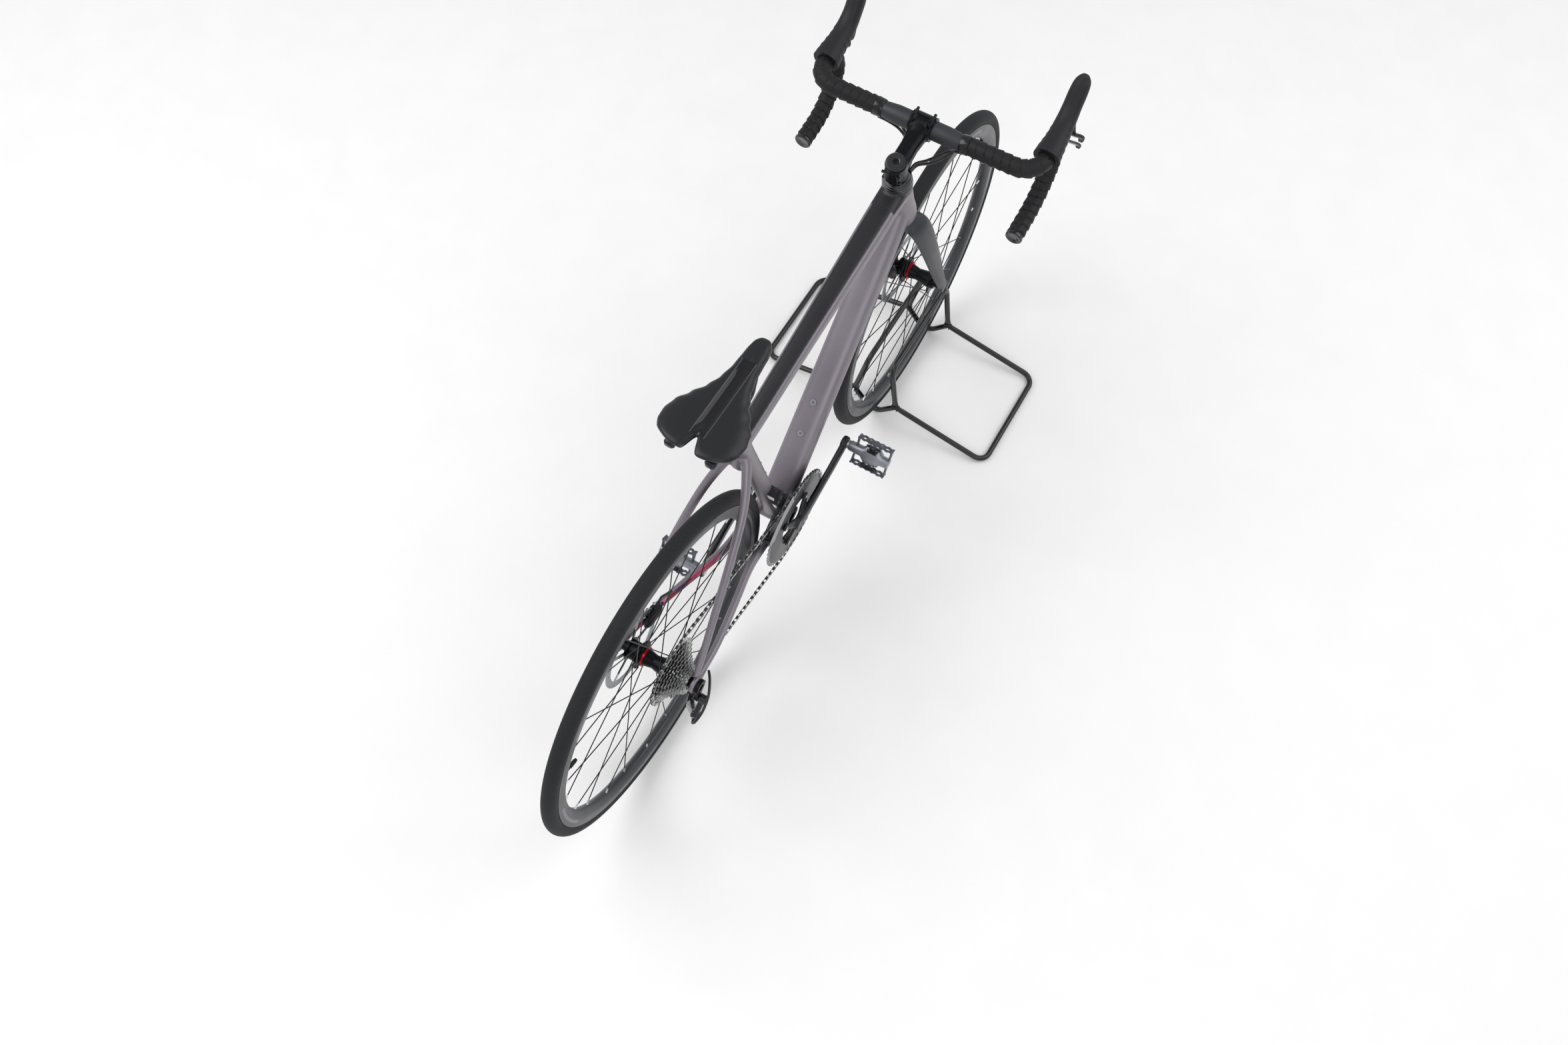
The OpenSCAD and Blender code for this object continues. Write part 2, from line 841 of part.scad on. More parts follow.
fork_inner = front_hub_w / 2 + gap;
module fork() {
  color("#3c3d40")
    in_steer()
      difference() {
        union() {
          translate([0, 0, fork_l - 8])
            cylinder(h = 8 - gap, r = crown_r);
          translate([0, 0, fork_l - gap])
            cylinder(h = 9, r = 20);
          translate([0, 0, fork_l])
            cylinder(h = cap_s - fork_l - 3, r = steerer_d / 2 - 0.05);
          crown();
          both_sides() {
            fork_leg([4, 37, 340], 24, 46, [22, 54, 170], 19, 36);
            fork_leg([22, 53.5, 170], 19, 36, [fork_rake - 2, fork_inner + 5.8, 6], 11.6, 25);
            about_y(fork_rake, fork_inner, 0)
              cylinder(h = 12, r = 14);
          }
        }
        about_y(fork_rake, -90, 0)
          cylinder(h = 180, r = axle_bore);
        about_y(fork_rake, -fork_inner, 0)
          cylinder(h = 2 * fork_inner, r = 40);
        translate([0, 0, fork_l + 12])
          cylinder(h = 400, r = steerer_d / 2 - 2.6);
      }
}

module crown() {
  hull() {
    translate([0, 0, fork_l - 12])
      cylinder(h = 6, r = crown_r - 1, $fn = 32);
    both_sides()
      translate([4, 37, 340])
        scale([46, 24, 1])
          cylinder(h = 2, d = 1, $fn = 32);
  }
}

module fork_leg(p, w1, d1, q, w2, d2) {
  hull() {
    translate(p)
      scale([d1, w1, 1])
        cylinder(h = 2, d = 1, $fn = 32);
    translate(q)
      scale([d2, w2, 1])
        cylinder(h = 2, d = 1, $fn = 32);
  }
}

// Front through axle, screwed into the fork's right leg
module front_axle() {
  color("#1b1c1e")
    in_steer()
      about_y(fork_rake, -fork_inner - 12, 0)
        difference() {
          union() {
            cylinder(h = 2 * fork_inner + 24, r = axle_d / 2);
            translate([0, 0, 2 * fork_inner + 24])
              cylinder(h = 3, r = 9.5);
          }
          translate([0, 0, 2 * fork_inner + 20])
            cylinder(h = 10, r = 3, $fn = 6);
        }
}

// Tapered dust cover over the upper bearing, with the cable port
module headset_cone() {
  color("#242528")
    in_steer()
      difference() {
        rotate_extrude()
          polygon([[steerer_d / 2 + 0.05, cone_s], [26, cone_s], [25.4, cone_s + 3], [24, cone_s + cone_h * 0.6],
            [20, cone_s + cone_h], [steerer_d / 2 + 0.05, cone_s + cone_h]]);
        translate([12, -19, cone_s + 1])
          cube([30, 16, cone_h - 3]);
      }
}

module headset_spacer() {
  color("#1d1e20")
    in_steer()
      bearing_ring(spacer_s, spacer_h, steerer_d / 2 + 0.05, 17.5);
}

// Stem: steerer clamp, extension and the rear half of the bar clamp
face_split = 3;
module stem() {
  color("#1f2022")
    difference() {
      union() {
        in_steer()
          translate([0, 0, stem_s])
            cylinder(h = stem_h, r = 18.5);
        oval_tube(stem_mid + [8, 0, 1], bar_c - [14, 0, 3], 33, 30, 38, 31);
        about_y(bar_c[0], -21, bar_c[2])
          cylinder(h = 42, r = bar_clamp_d / 2 + 4.5);
      }
      in_steer()
        translate([0, 0, stem_s - 30])
          cylinder(h = 100, r = steerer_d / 2);
      about_y(bar_c[0], -40, bar_c[2])
        cylinder(h = 80, r = bar_clamp_d / 2);
      translate(bar_c)
        rotate([0, -stem_rise, 0])
          translate([face_split, -50, -50])
            cube([100, 100, 100]);
      in_steer()
        translate([-40, -1, stem_s - 1])
          cube([30, 2, stem_h + 2]);
      bolt_rows(0.06);
    }
}

module stem_faceplate() {
  color("#1f2022")
    difference() {
      about_y(bar_c[0], -21, bar_c[2])
        cylinder(h = 42, r = bar_clamp_d / 2 + 4.5);
      about_y(bar_c[0], -40, bar_c[2])
        cylinder(h = 80, r = bar_clamp_d / 2);
      translate(bar_c)
        rotate([0, -stem_rise, 0]) {
          translate([face_split + 1 - 100, -50, -50])
            cube([100, 100, 100]);
          translate([0, -11, -8])
            cube([40, 22, 16]);
        }
      bolt_rows(0.06);
    }
}

// Four faceplate bolts and two steerer pinch bolts
module stem_bolts() {
  color("#111214")
    bolt_rows(0);
}

bolt_row_z = bar_clamp_d / 2 + 3.4;
module bolt_rows(spare) {
  translate(bar_c)
    rotate([0, -stem_rise, 0])
      for (y = [-16, 16], z = [-bolt_row_z, bolt_row_z])
        translate([-8 - spare, y, z])
          rotate([0, 90, 0])
            cylinder(h = 24 + spare, r = 2.5 + spare, $fn = 24);
  in_steer()
    for (s = [10, 28])
      translate([-steerer_d / 2 - 3.2, -17, stem_s + s])
        rotate([-90, 0, 0])
          cylinder(h = 34, r = 2.5 + spare, $fn = 24);
}

// Top cap with the headset's preload bolt
module top_cap() {
  color("#141517")
    in_steer()
      difference() {
        union() {
          translate([0, 0, cap_s])
            cylinder(h = 5, r = 17);
          translate([0, 0, cap_s - 20])
            cylinder(h = 21, r = 3);
        }
        translate([0, 0, cap_s + 2])
          cylinder(h = 5, r = 3, $fn = 6);
      }
}

// Left half of the handlebar's centre line, from the start of its tape
bend_n = 4;
drop_line = [
  for (p = concat(
    arc_points(drop_c1, drop_r1, 90 + drop_a0, 90 + drop_a1, bend_n + 2),
    arc_points(drop_c2, drop_r2, 90 + drop_a1, 90 + drop_a2, bend_n),
    [bar_end]
  ))
    [p[0], bar_y, p[1]]
];
bar_line = concat(
  [[bar_c[0], tape_y, bar_c[2]]],
  [for (p = arc_points([bar_c[0] + corner_r, bar_y - corner_r], corner_r, 180, 90, bend_n)) [p[0], p[1], bar_c[2]]],
  drop_line
);
function distinct(p) = [for (i = [0:len(p) - 1]) if (i == 0 || norm(p[i] - p[i - 1]) > 0.01) p[i]];

module handlebar() {
  color("#202124") {
    about_y(bar_c[0], -taper_y, bar_c[2])
      cylinder(h = 2 * taper_y, r = bar_clamp_d / 2);
    both_sides() {
      about_y(bar_c[0], taper_y, bar_c[2])
        cylinder(h = tape_y - taper_y, r1 = bar_clamp_d / 2, r2 = bar_d / 2 + 1.4);
      swept(distinct(bar_line), bar_d / 2, 12);
    }
  }
}

// Wound tape over the handlebar, on each side
module bar_tape() {
  color("#1a1a1c")
    both_sides()
      difference() {
        swept(distinct(bar_line), bar_d / 2 + tape_t, 12);
        swept(stretched(distinct(bar_line)), bar_d / 2 + 0.1, 12);
      }
}

function stretched(p) = concat(
  [p[0] + unit(p[0] - p[1])],
  p,
  [p[len(p) - 1] + unit(p[len(p) - 1] - p[len(p) - 2])]
);

module bar_plugs() {
  color("#101012")
    both_sides()
      translate([bar_end[0], bar_y, bar_end[1]])
        rotate([0, -90 - (180 + drop_a2), 0])
          translate([0, 0, 0.2])
            cylinder(h = 5, r = bar_d / 2 + tape_t);
}

// Rubber hoods over the lever bodies
hood_base = [drop_0[0] + 16, bar_y, drop_0[1] + 5];
hood_mid = [drop_0[0] + 62, bar_y, drop_0[1] + 18];
hood_tip = [drop_0[0] + 110, bar_y, drop_0[1] + 73];
module lever_hoods() {
  color("#2d2e31")
    both_sides()
      difference() {
        union() {
          limb([hood_base, 22], [hood_mid, 18]);
          limb([hood_mid, 18], [hood_tip, 15.5]);
        }
        swept(stretched(distinct(drop_line)), bar_d / 2 + tape_t + 0.2, 12);
        translate([drop_0[0] - 40, 0, drop_0[1] - 30])
          cube([42, 400, 80]);
        lever_slot();
      }
}

// Opening in the front of each hood for the lever's bracket
module lever_slot() {
  translate([lever_pivot[0] - 9, lever_pivot[1] - 6.5, lever_pivot[2] - 44])
    cube([60, 13, 53]);
}

// Pivot block of each lever, turned by braking
module lever_bracket() {
  about_y(lever_pivot[0], lever_pivot[1] - 6, lever_pivot[2])
    cylinder(h = 12, r = 7.5);
  translate([lever_pivot[0] - 2, lever_pivot[1] - 6, lever_pivot[2] - 16])
    cube([14, 12, 16]);
}

module lever_bracket_left() {
  color("#2a2b2e")
    lever_bracket();
}

module lever_bracket_right() {
  color("#2a2b2e")
    mirror([0, 1, 0])
      lever_bracket();
}

// Brake blade, which also swings inwards to shift
blade_top = lever_pivot + [8, 1, -24];
module lever_blade() {
  limb([blade_top, 6], [(blade_top + lever_tip) / 2 + [5, 0, 0], 5.5]);
  limb([(blade_top + lever_tip) / 2 + [5, 0, 0], 5.5], [lever_tip, 6]);
}

module brake_lever_left() {
  color("#3a3c40")
    lever_blade();
}

module brake_lever_right() {
  color("#3a3c40")
    mirror([0, 1, 0])
      lever_blade();
}

// Release paddle behind the blade
module shift_paddle() {
  limb([blade_top + [-13, -2, -4], 4], [lever_tip + [-20, -6, 22], 3.5]);
  limb([lever_tip + [-20, -6, 22], 3.5], [lever_tip + [-19, 2, 14], 3.5]);
}

module shift_paddle_left() {
  color("#1d1e20")
    shift_paddle();
}

module shift_paddle_right() {
  color("#1d1e20")
    mirror([0, 1, 0])
      shift_paddle();
}

// ---- wheels ----

tyre_mid = tyre_r - tyre_w / 2;
rim_r = rim_d / 2;
module tyre() {
  rotate_extrude($fn = 180)
    union() {
      difference() {
        translate([tyre_mid, 0])
          circle(r = tyre_w / 2);
        translate([tyre_mid, 0])
          circle(r = tyre_w / 2 - 2.7);
        translate([0, -40])
          square([rim_r + 0.2, 80]);
      }
      for (s = [-1, 1])
        translate([rim_r - 7.7, s * (rim_w / 2 - 3.5) - 1.1])
          square([10.7, 2.2]);
    }
}

module rim() {
  r = rim_r;
  h = rim_w / 2;
  n = r - rim_depth;
  rotate_extrude($fn = 180)
    difference() {
      polygon([[r, -h], [r, h], [r - 17, h + 0.5], [n + 2, 6], [n, 3.5],
        [n, -3.5], [n + 2, -6], [r - 17, -h - 0.5]]);
      polygon([[r + 1, -h + 2.2], [r + 1, h - 2.2], [r - 8, h - 2.2], [r - 9.5, 6],
        [r - 9.5, -6], [r - 8, -h + 2.2]]);
      polygon([[r - 12, -h + 3], [r - 12, h - 3], [r - 18, h - 2], [n + 4, 4.5],
        [n + 4, -4.5], [r - 18, -h + 2]]);
    }
}

// Spokes of one wheel: flange distances are measured from the wheel's middle
module spokes(left_flange, right_flange, flange_r) {
  each_side = spoke_n / 2;
  lead = 360 / spoke_n * 4.6;
  for (s = [1, -1], i = [0:each_side - 1]) {
    flange = s > 0 ? left_flange : right_flange;
    turn = i * 360 / each_side + (s > 0 ? 0 : 180 / each_side);
    way = i % 2 == 0 ? 1 : -1;
    hub_a = turn + way * lead;
    rod(
      [flange_r * cos(hub_a), flange_r * sin(hub_a), s * (flange + 3.4 * way)],
      [(rim_r - rim_depth - 0.3) * cos(turn), (rim_r - rim_depth - 0.3) * sin(turn), s * 1.6],
      spoke_d / 2
    );
  }
}

module rotor(mount_r) {
  linear_extrude(rotor_t)
    union() {
      difference() {
        circle(d = rotor_d);
        circle(d = rotor_d - 28);
        for (i = [0:23])
          rotate(i * 15)
            translate([rotor_d / 2 - 7 + (i % 3 - 1) * 3.4, 0])
              circle(r = 2, $fn = 16);
      }
      difference() {
        circle(r = mount_r + 6);
        circle(r = mount_r);
      }
      for (i = [0:4])
        rotate(i * 72)
          polygon([[mount_r + 4, -4], [rotor_d / 2 - 13, 8], [rotor_d / 2 - 13, 14], [mount_r + 4, 4]]);
    }
}

// Hub shell turned in one piece, from profile points [axial, radius]
module hub(profile) {
  rotate_extrude()
    polygon(concat([for (p = profile) [p[1], p[0]]],
      [[axle_bore, profile[len(profile) - 1][0]], [axle_bore, profile[0][0]]]));
}

lock_r = 17;
front_flange_l = 24;
front_flange_r = 34;
rear_flange_l = 33;
rear_flange_r = 20;
flange_r = 24;
module front_tyre() {
  color("#3b3c3e")
    about_y(front_x, 0, tyre_r)
      tyre();
}

module front_rim() {
  color("#4a4b4d")
    about_y(front_x, 0, tyre_r)
      rim();
}

module front_spokes() {
  color("#1a1a1b")
    about_y(front_x, 0, tyre_r)
      spokes(front_flange_l, front_flange_r, flange_r);
}

module front_hub() {
  h = front_hub_w / 2;
  color("#1a1b1d")
    about_y(front_x, 0, tyre_r)
      hub([[-h, 9.5], [-h + 8, 9.5], [-h + 8, 14], [-front_flange_r - 1.2, 15], [-front_flange_r - 1.2, 27],
        [-front_flange_r + 1.2, 27], [-front_flange_r + 1.2, 17], [0, 12], [front_flange_l - 1.2, 17],
        [front_flange_l - 1.2, 28], [front_flange_l + 1.2, 28], [front_flange_l + 1.2, 18], [rotor_front_y - 1.5, 18],
        [rotor_front_y - 1.5, lock_r - 0.1], [rotor_front_y + 5, lock_r - 0.1], [rotor_front_y + 5, 9.5], [h, 9.5]]);
}

module front_rotor() {
  color("#a9acb0")
    about_y(front_x, rotor_front_y - rotor_t / 2, tyre_r)
      rotor(lock_r);
}

module rear_tyre() {
  color("#3b3c3e")
    about_y(rear_x, 0, tyre_r)
      tyre();
}

module rear_rim() {
  color("#4a4b4d")
    about_y(rear_x, 0, tyre_r)
      rim();
}

module rear_spokes() {
  color("#1a1a1b")
    about_y(rear_x, 0, tyre_r)
      spokes(rear_flange_l, rear_flange_r, flange_r);
}

module rear_hub() {
  h = rear_hub_w / 2;
  color("#1a1b1d")
    about_y(rear_x, 0, tyre_r)
      hub([[-h, 9.5], [-h + 4, 9.5], [-h + 4, 15.9], [cog_y + 2.5, 15.9], [cog_y + 3.5, 20],
        [-rear_flange_r - 1.2, 20], [-rear_flange_r - 1.2, 28], [-rear_flange_r + 1.2, 28], [-rear_flange_r + 1.2, 18],
        [6, 13], [rear_flange_l - 1.2, 18], [rear_flange_l - 1.2, 28], [rear_flange_l + 1.2, 28],
        [rear_flange_l + 1.2, 18], [rotor_rear_y - 1.5, 18],
        [rotor_rear_y - 1.5, lock_r - 0.1], [rotor_rear_y + 5, lock_r - 0.1], [rotor_rear_y + 5, 9.5], [h, 9.5]]);
}

module rear_rotor() {
  color("#a9acb0")
    about_y(rear_x, rotor_rear_y - rotor_t / 2, tyre_r)
      rotor(lock_r);
}

// ---- cranks and pedals ----

arm_out = 73;
arm_t = 13;
eye_r = 13;
crank_eye = bb + crank_l * [cos(crank_turn), 0, sin(crank_turn)];
module crank_arm(turn) {
  translate(bb)
    rotate([0, -turn, 0])
      hull() {
        translate([0, 57, 0])
          rotate([-90, 0, 0])
            cylinder(h = 10, r = 19, $fn = 32);
        translate([crank_l, arm_out - arm_t, 0])
          rotate([-90, 0, 0])
            cylinder(h = arm_t, r = eye_r, $fn = 32);
      }
}

bolt_circle_r = 55;
spider_turn = [30, 115, 210, 295];
module crankset() {
  color("#37393d")
    difference() {
      union() {
        about_y(bb[0], -62, bb[2])
          cylinder(h = 124, r = crank_axle_r);
        crank_arm(crank_turn + 180);
        mirror([0, 1, 0])
          crank_arm(crank_turn);
        about_y(bb[0], -60, bb[2])
          cylinder(h = 9, r = 22);
        spider();
      }
      for (eye = [crank_eye, bb + (bb - crank_eye)])
        about_y(eye[0], -100, eye[2])
          cylinder(h = 200, r = 7.15);
    }
}

module spider() {
  for (a = spider_turn)
    translate(bb)
      rotate([0, -a - crank_turn, 0])
        translate([12, -58, -9])
          cube([bolt_circle_r - 5, 58 + ring_y - 1.2, 18]);
}

// Two chainrings with their four bolts
module chainrings() {
  color("#5d6064")
    difference() {
      union() {
        about_y(bb[0], ring_y - 1.2, bb[2])
          rotate(-crank_turn)
            linear_extrude(2.4)
              difference() {
                teeth_2d(big_ring_n);
                circle(r = 47);
              }
        about_y(bb[0], small_ring_y - 1, bb[2])
          rotate(-crank_turn)
            linear_extrude(2)
              difference() {
                teeth_2d(small_ring_n);
                circle(r = 48);
              }
        for (a = spider_turn)
          translate(bb)
            rotate([0, -a - crank_turn, 0])
              translate([bolt_circle_r, ring_y - 1.2, 0])
                rotate([-90, 0, 0])
                  cylinder(h = 9, r = 5);
      }
    }
}

// Pedal with its spindle, body, cage and bindings; drawn for the left side
pedal_in = arm_out + gap + 4;
pedal_w = 72;
module pedal() {
  mid = arm_out + 52;
  difference() {
    union() {
      rotate([-90, 0, 0])
        translate([0, 0, pedal_in])
          cylinder(h = pedal_w + 12, r = 10);
      for (x = [-30, 27])
        translate([x, mid - 36, -9])
          cube([3, 72, 18]);
      for (y = [mid - 36, mid + 32])
        translate([-30, y, -8])
          cube([60, 4, 16]);
      translate([-22, mid - 15, -13])
        cube([44, 30, 26]);
    }
    rotate([-90, 0, 0])
      cylinder(h = pedal_in + pedal_w, r = 6.08);
  }
}

// Spindle of each pedal, screwed into the crank arm
module pedal_spindle() {
  rotate([-90, 0, 0]) {
    translate([0, 0, arm_out - arm_t])
      cylinder(h = arm_t + 1, r = 7.1);
    translate([0, 0, arm_out])
      cylinder(h = pedal_w - 4, r = 6);
    translate([0, 0, arm_out + 0.05])
      cylinder(h = 3.6, r = 9);
  }
}

module pedal_spindles() {
  color("#b5b7ba")
    for (s = [0, 1])
      translate(s == 0 ? bb + (bb - crank_eye) : crank_eye)
        mirror([0, s, 0])
          pedal_spindle();
}

module pedal_left() {
  color("#8c8f94")
    translate(bb + (bb - crank_eye))
      rotate([0, -pedal_turn, 0])
        pedal();
}

module pedal_right() {
  color("#8c8f94")
    translate(crank_eye)
      rotate([0, -pedal_turn, 0])
        mirror([0, 1, 0])
          pedal();
}

// ---- saddle ----

post_wall = 2.5;
head_pivot = on_seat(head_t);
module seatpost() {
  color("#1e1f21")
    difference() {
      union() {
        in_seat()
          translate([0, 0, seat_top_t - post_insert])
            cylinder(h = head_t - seat_top_t + post_insert, r = seatpost_d / 2);
        about_y(head_pivot[0], -16, head_pivot[2])
          cylinder(h = 32, r = 13);
      }
      in_seat()
        translate([0, 0, seat_top_t - post_insert - 1])
          cylinder(h = head_t - seat_top_t + post_insert - 22, r = seatpost_d / 2 - post_wall);
      about_y(head_pivot[0], -20, head_pivot[2])
        cylinder(h = 40, r = 8.05);
    }
}

// Cradle that turns in the seatpost's head and grips the two rails
rail_r = 3.5;
rail_y = 22;
rail_half = 42;
clamp_half = 19;
module saddle_clamp() {
  color("#2a2b2e") {
    about_y(head_pivot[0], -rail_y - 6, head_pivot[2])
      cylinder(h = 2 * rail_y + 12, r = 8);
    both_sides()
      difference() {
        translate([saddle_x - clamp_half, rail_y - 5.4, head_pivot[2] - 8])
          cube([2 * clamp_half, 11.4, rail_z - head_pivot[2] + 13]);
        rod([saddle_x - 30, rail_y, rail_z], [saddle_x + 30, rail_y, rail_z], rail_r + 0.06);
      }
  }
}

rail_lift = 13;
module saddle_rails() {
  color("#3a3b3d")
    both_sides() {
      rod([saddle_x - rail_half, rail_y, rail_z], [saddle_x + rail_half, rail_y, rail_z], rail_r);
      swept([[saddle_x - rail_half + 3, rail_y, rail_z], [saddle_x - rail_half, rail_y, rail_z],
        [saddle_x - rail_half - 38, rail_y + 12, rail_z + rail_lift]], rail_r - 0.1, 12);
      swept([[saddle_x + rail_half - 3, rail_y, rail_z], [saddle_x + rail_half, rail_y, rail_z],
        [saddle_x + rail_half + 48, 9, rail_z + rail_lift]], rail_r - 0.1, 12);
    }
}

saddle_mid = saddle_x + 12;
saddle_back = saddle_mid - saddle_l / 2;
saddle_nose = saddle_mid + saddle_l / 2;
pad_t = 18;
shell_t = 5;
saddle_top = rail_z + 40;
module saddle_outline(shrink) {
  hull() {
    translate([saddle_nose - 18, 3])
      circle(r = 17 - shrink, $fn = 32);
    translate([saddle_mid + 20, 8])
      circle(r = 22 - shrink, $fn = 32);
  }
  hull() {
    translate([saddle_mid + 20, 8])
      circle(r = 22 - shrink, $fn = 32);
    translate([saddle_back + 34, saddle_w / 2 - 30])
      circle(r = 30 - shrink, $fn = 32);
    translate([saddle_back + 30, 20])
      circle(r = 18 - shrink, $fn = 32);
  }
}

// Moulded base under the padding
module saddle_shell() {
  color("#131315")
    translate([0, 0, saddle_top - pad_t - shell_t])
      linear_extrude(shell_t)
        both_sides()
          saddle_outline(5);
}

// Padding and cover
module saddle_pad() {
  color("#242528")
    translate([0, 0, saddle_top - pad_t + 0.1])
      linear_extrude(pad_t - 0.1)
        both_sides()
          saddle_outline(0);
}

// ---- stand ----

stand_r = stand_tube_d / 2;
stand_half = stand_l / 2;
foot_bend = 26;
rail_bend = 22;
dip_bend = 30;
fuse = 0.04;
foot_run = [stand_w / 2 - stand_joint_y, stand_r - stand_joint_z];
rail_run = [stand_rail_y - stand_joint_y, stand_rail_z - stand_r - stand_joint_z];
module wheel_stand() {
  color("#141416")
    translate([front_x, 0, 0]) {
      both_sides() {
        stand_loop(foot_run, foot_bend, 0);
        stand_loop(rail_run, rail_bend, fuse);
      }
      for (s = [-1, 1])
        stand_dip(s * stand_half);
    }
}

// Loop from the two welded joints of one side: the foot on the floor or the rail by the wheel
module stand_loop(run, bend, thinner) {
  reach = norm(run);
  c = [stand_half - bend, reach - bend];
  half = concat([[stand_half, 0]], arc_points(c, bend, 0, 90, bend_n));
  line = concat(half, [for (k = [len(half) - 1:-1:0]) [-half[k][0], half[k][1]]]);
  a = atan2(run[1], run[0]);
  points = [for (p = line) [p[0], stand_joint_y + p[1] * cos(a), stand_joint_z + p[1] * sin(a)]];
  swept(stretched(distinct(points)), stand_r - thinner, 16);
}

// Cross bar, which dips under the tyre
module stand_dip(x) {
  c = [0, stand_r + dip_bend];
  out = [stand_joint_y, stand_joint_z] - c;
  from = atan2(out[1], out[0]) - acos(dip_bend / norm(out));
  line = concat(
    [[stand_joint_y, stand_joint_z]],
    arc_points(c, dip_bend, from, -180 - from, 2 * bend_n),
    [[-stand_joint_y, stand_joint_z]]
  );
  swept(stretched([for (p = line) [x, p[0], p[1]]]), stand_r - 2 * fuse, 16);
}

front_triangle();
chainstays();
seatstays();
headset_bearings();
bottom_bracket();
bottle_bosses();
seatpost_wedge();
rear_axle();
rear_brake_caliper();
frame_hoses();
derailleur_hanger();
rear_derailleur();
derailleur_cage();
front_derailleur();
chain_plates();
chain_rollers();
fork();
headset_cone();
headset_spacer();
stem();
stem_faceplate();
stem_bolts();
top_cap();
handlebar();
bar_tape();
bar_plugs();
lever_hoods();
front_brake_caliper();
fork_hoses();
front_axle();
lever_bracket_left();
lever_bracket_right();
brake_lever_left();
brake_lever_right();
shift_paddle_left();
shift_paddle_right();
front_tyre();
front_rim();
front_spokes();
front_hub();
front_rotor();
rear_tyre();
rear_rim();
rear_spokes();
rear_hub();
rear_rotor();
cassette();
guide_pulley();
tension_pulley();
crankset();
chainrings();
pedal_spindles();
pedal_left();
pedal_right();
seatpost();
saddle_clamp();
saddle_rails();
saddle_shell();
saddle_pad();
wheel_stand();
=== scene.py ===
# Road bicycle with its front wheel in a welded floor stand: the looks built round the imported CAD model.
# Sizes in this file are in millimetres and are turned to metres where a mesh is made.
import json
import math

import bmesh
import bpy
from mathutils import Matrix, Vector


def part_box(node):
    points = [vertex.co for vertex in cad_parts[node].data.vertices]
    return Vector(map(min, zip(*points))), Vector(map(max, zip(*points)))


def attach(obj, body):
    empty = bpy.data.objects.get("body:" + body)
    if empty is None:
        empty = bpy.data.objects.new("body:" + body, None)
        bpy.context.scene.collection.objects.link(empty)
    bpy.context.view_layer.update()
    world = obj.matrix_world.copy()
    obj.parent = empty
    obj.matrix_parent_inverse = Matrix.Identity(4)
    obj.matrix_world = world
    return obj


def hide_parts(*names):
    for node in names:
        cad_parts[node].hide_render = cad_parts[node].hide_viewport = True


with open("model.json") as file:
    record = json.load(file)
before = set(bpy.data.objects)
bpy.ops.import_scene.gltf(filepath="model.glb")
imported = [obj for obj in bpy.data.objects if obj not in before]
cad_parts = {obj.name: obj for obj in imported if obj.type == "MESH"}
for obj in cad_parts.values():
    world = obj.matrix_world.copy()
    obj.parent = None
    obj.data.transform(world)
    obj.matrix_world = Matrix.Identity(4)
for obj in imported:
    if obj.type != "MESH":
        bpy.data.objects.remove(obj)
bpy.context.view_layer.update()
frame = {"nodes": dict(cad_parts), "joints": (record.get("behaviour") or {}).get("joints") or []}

# ---- Frame: front triangle, chainstays and seatstays ----
# The real frame is carbon fibre, laid up in a mould and bonded into one piece, so its tubes flow into each
# other with soft fillets. It is lacquered with a matt metallic mauve grey, near black on top of the top tube.
joint = {j["name"]: j for j in frame["joints"]}


def spot(name):
    """Where a joint sits, in millimetres."""
    return Vector(joint[name]["pos_m"]) * 1000


crank, rear, front, steer = (spot(n) for n in ("crank_spin", "rear_wheel_spin", "front_wheel_spin", "steering"))
seat_up, steer_up = (Vector(joint[n]["axis"]) for n in ("seatpost_height", "steering"))
side = Vector((0, 1, 0))
steer_ahead = side.cross(steer_up)
seat_ahead = side.cross(seat_up)


def in_steer(x, y, s):
    """A point x ahead of the steering axis, y to the left and s up along it."""
    return steer + steer_ahead * x + side * y + steer_up * s


def colour(code):
    """Linear colour of an sRGB hex value."""
    parts = [int(code[i:i + 2], 16) / 255 for i in (1, 3, 5)]
    return [c / 12.92 if c <= 0.04045 else ((c + 0.055) / 1.055) ** 2.4 for c in parts] + [1]


def add(tree, kind, links=(), values=(), **settings):
    """Adds one shader node with its settings, socket values and links."""
    n = tree.nodes.new("ShaderNode" + kind)
    for key, value in settings.items():
        setattr(n, key, value)
    for key, value in dict(values).items():
        n.inputs[key].default_value = value
    for key, source in dict(links).items():
        tree.links.new(source, n.inputs[key])
    return n


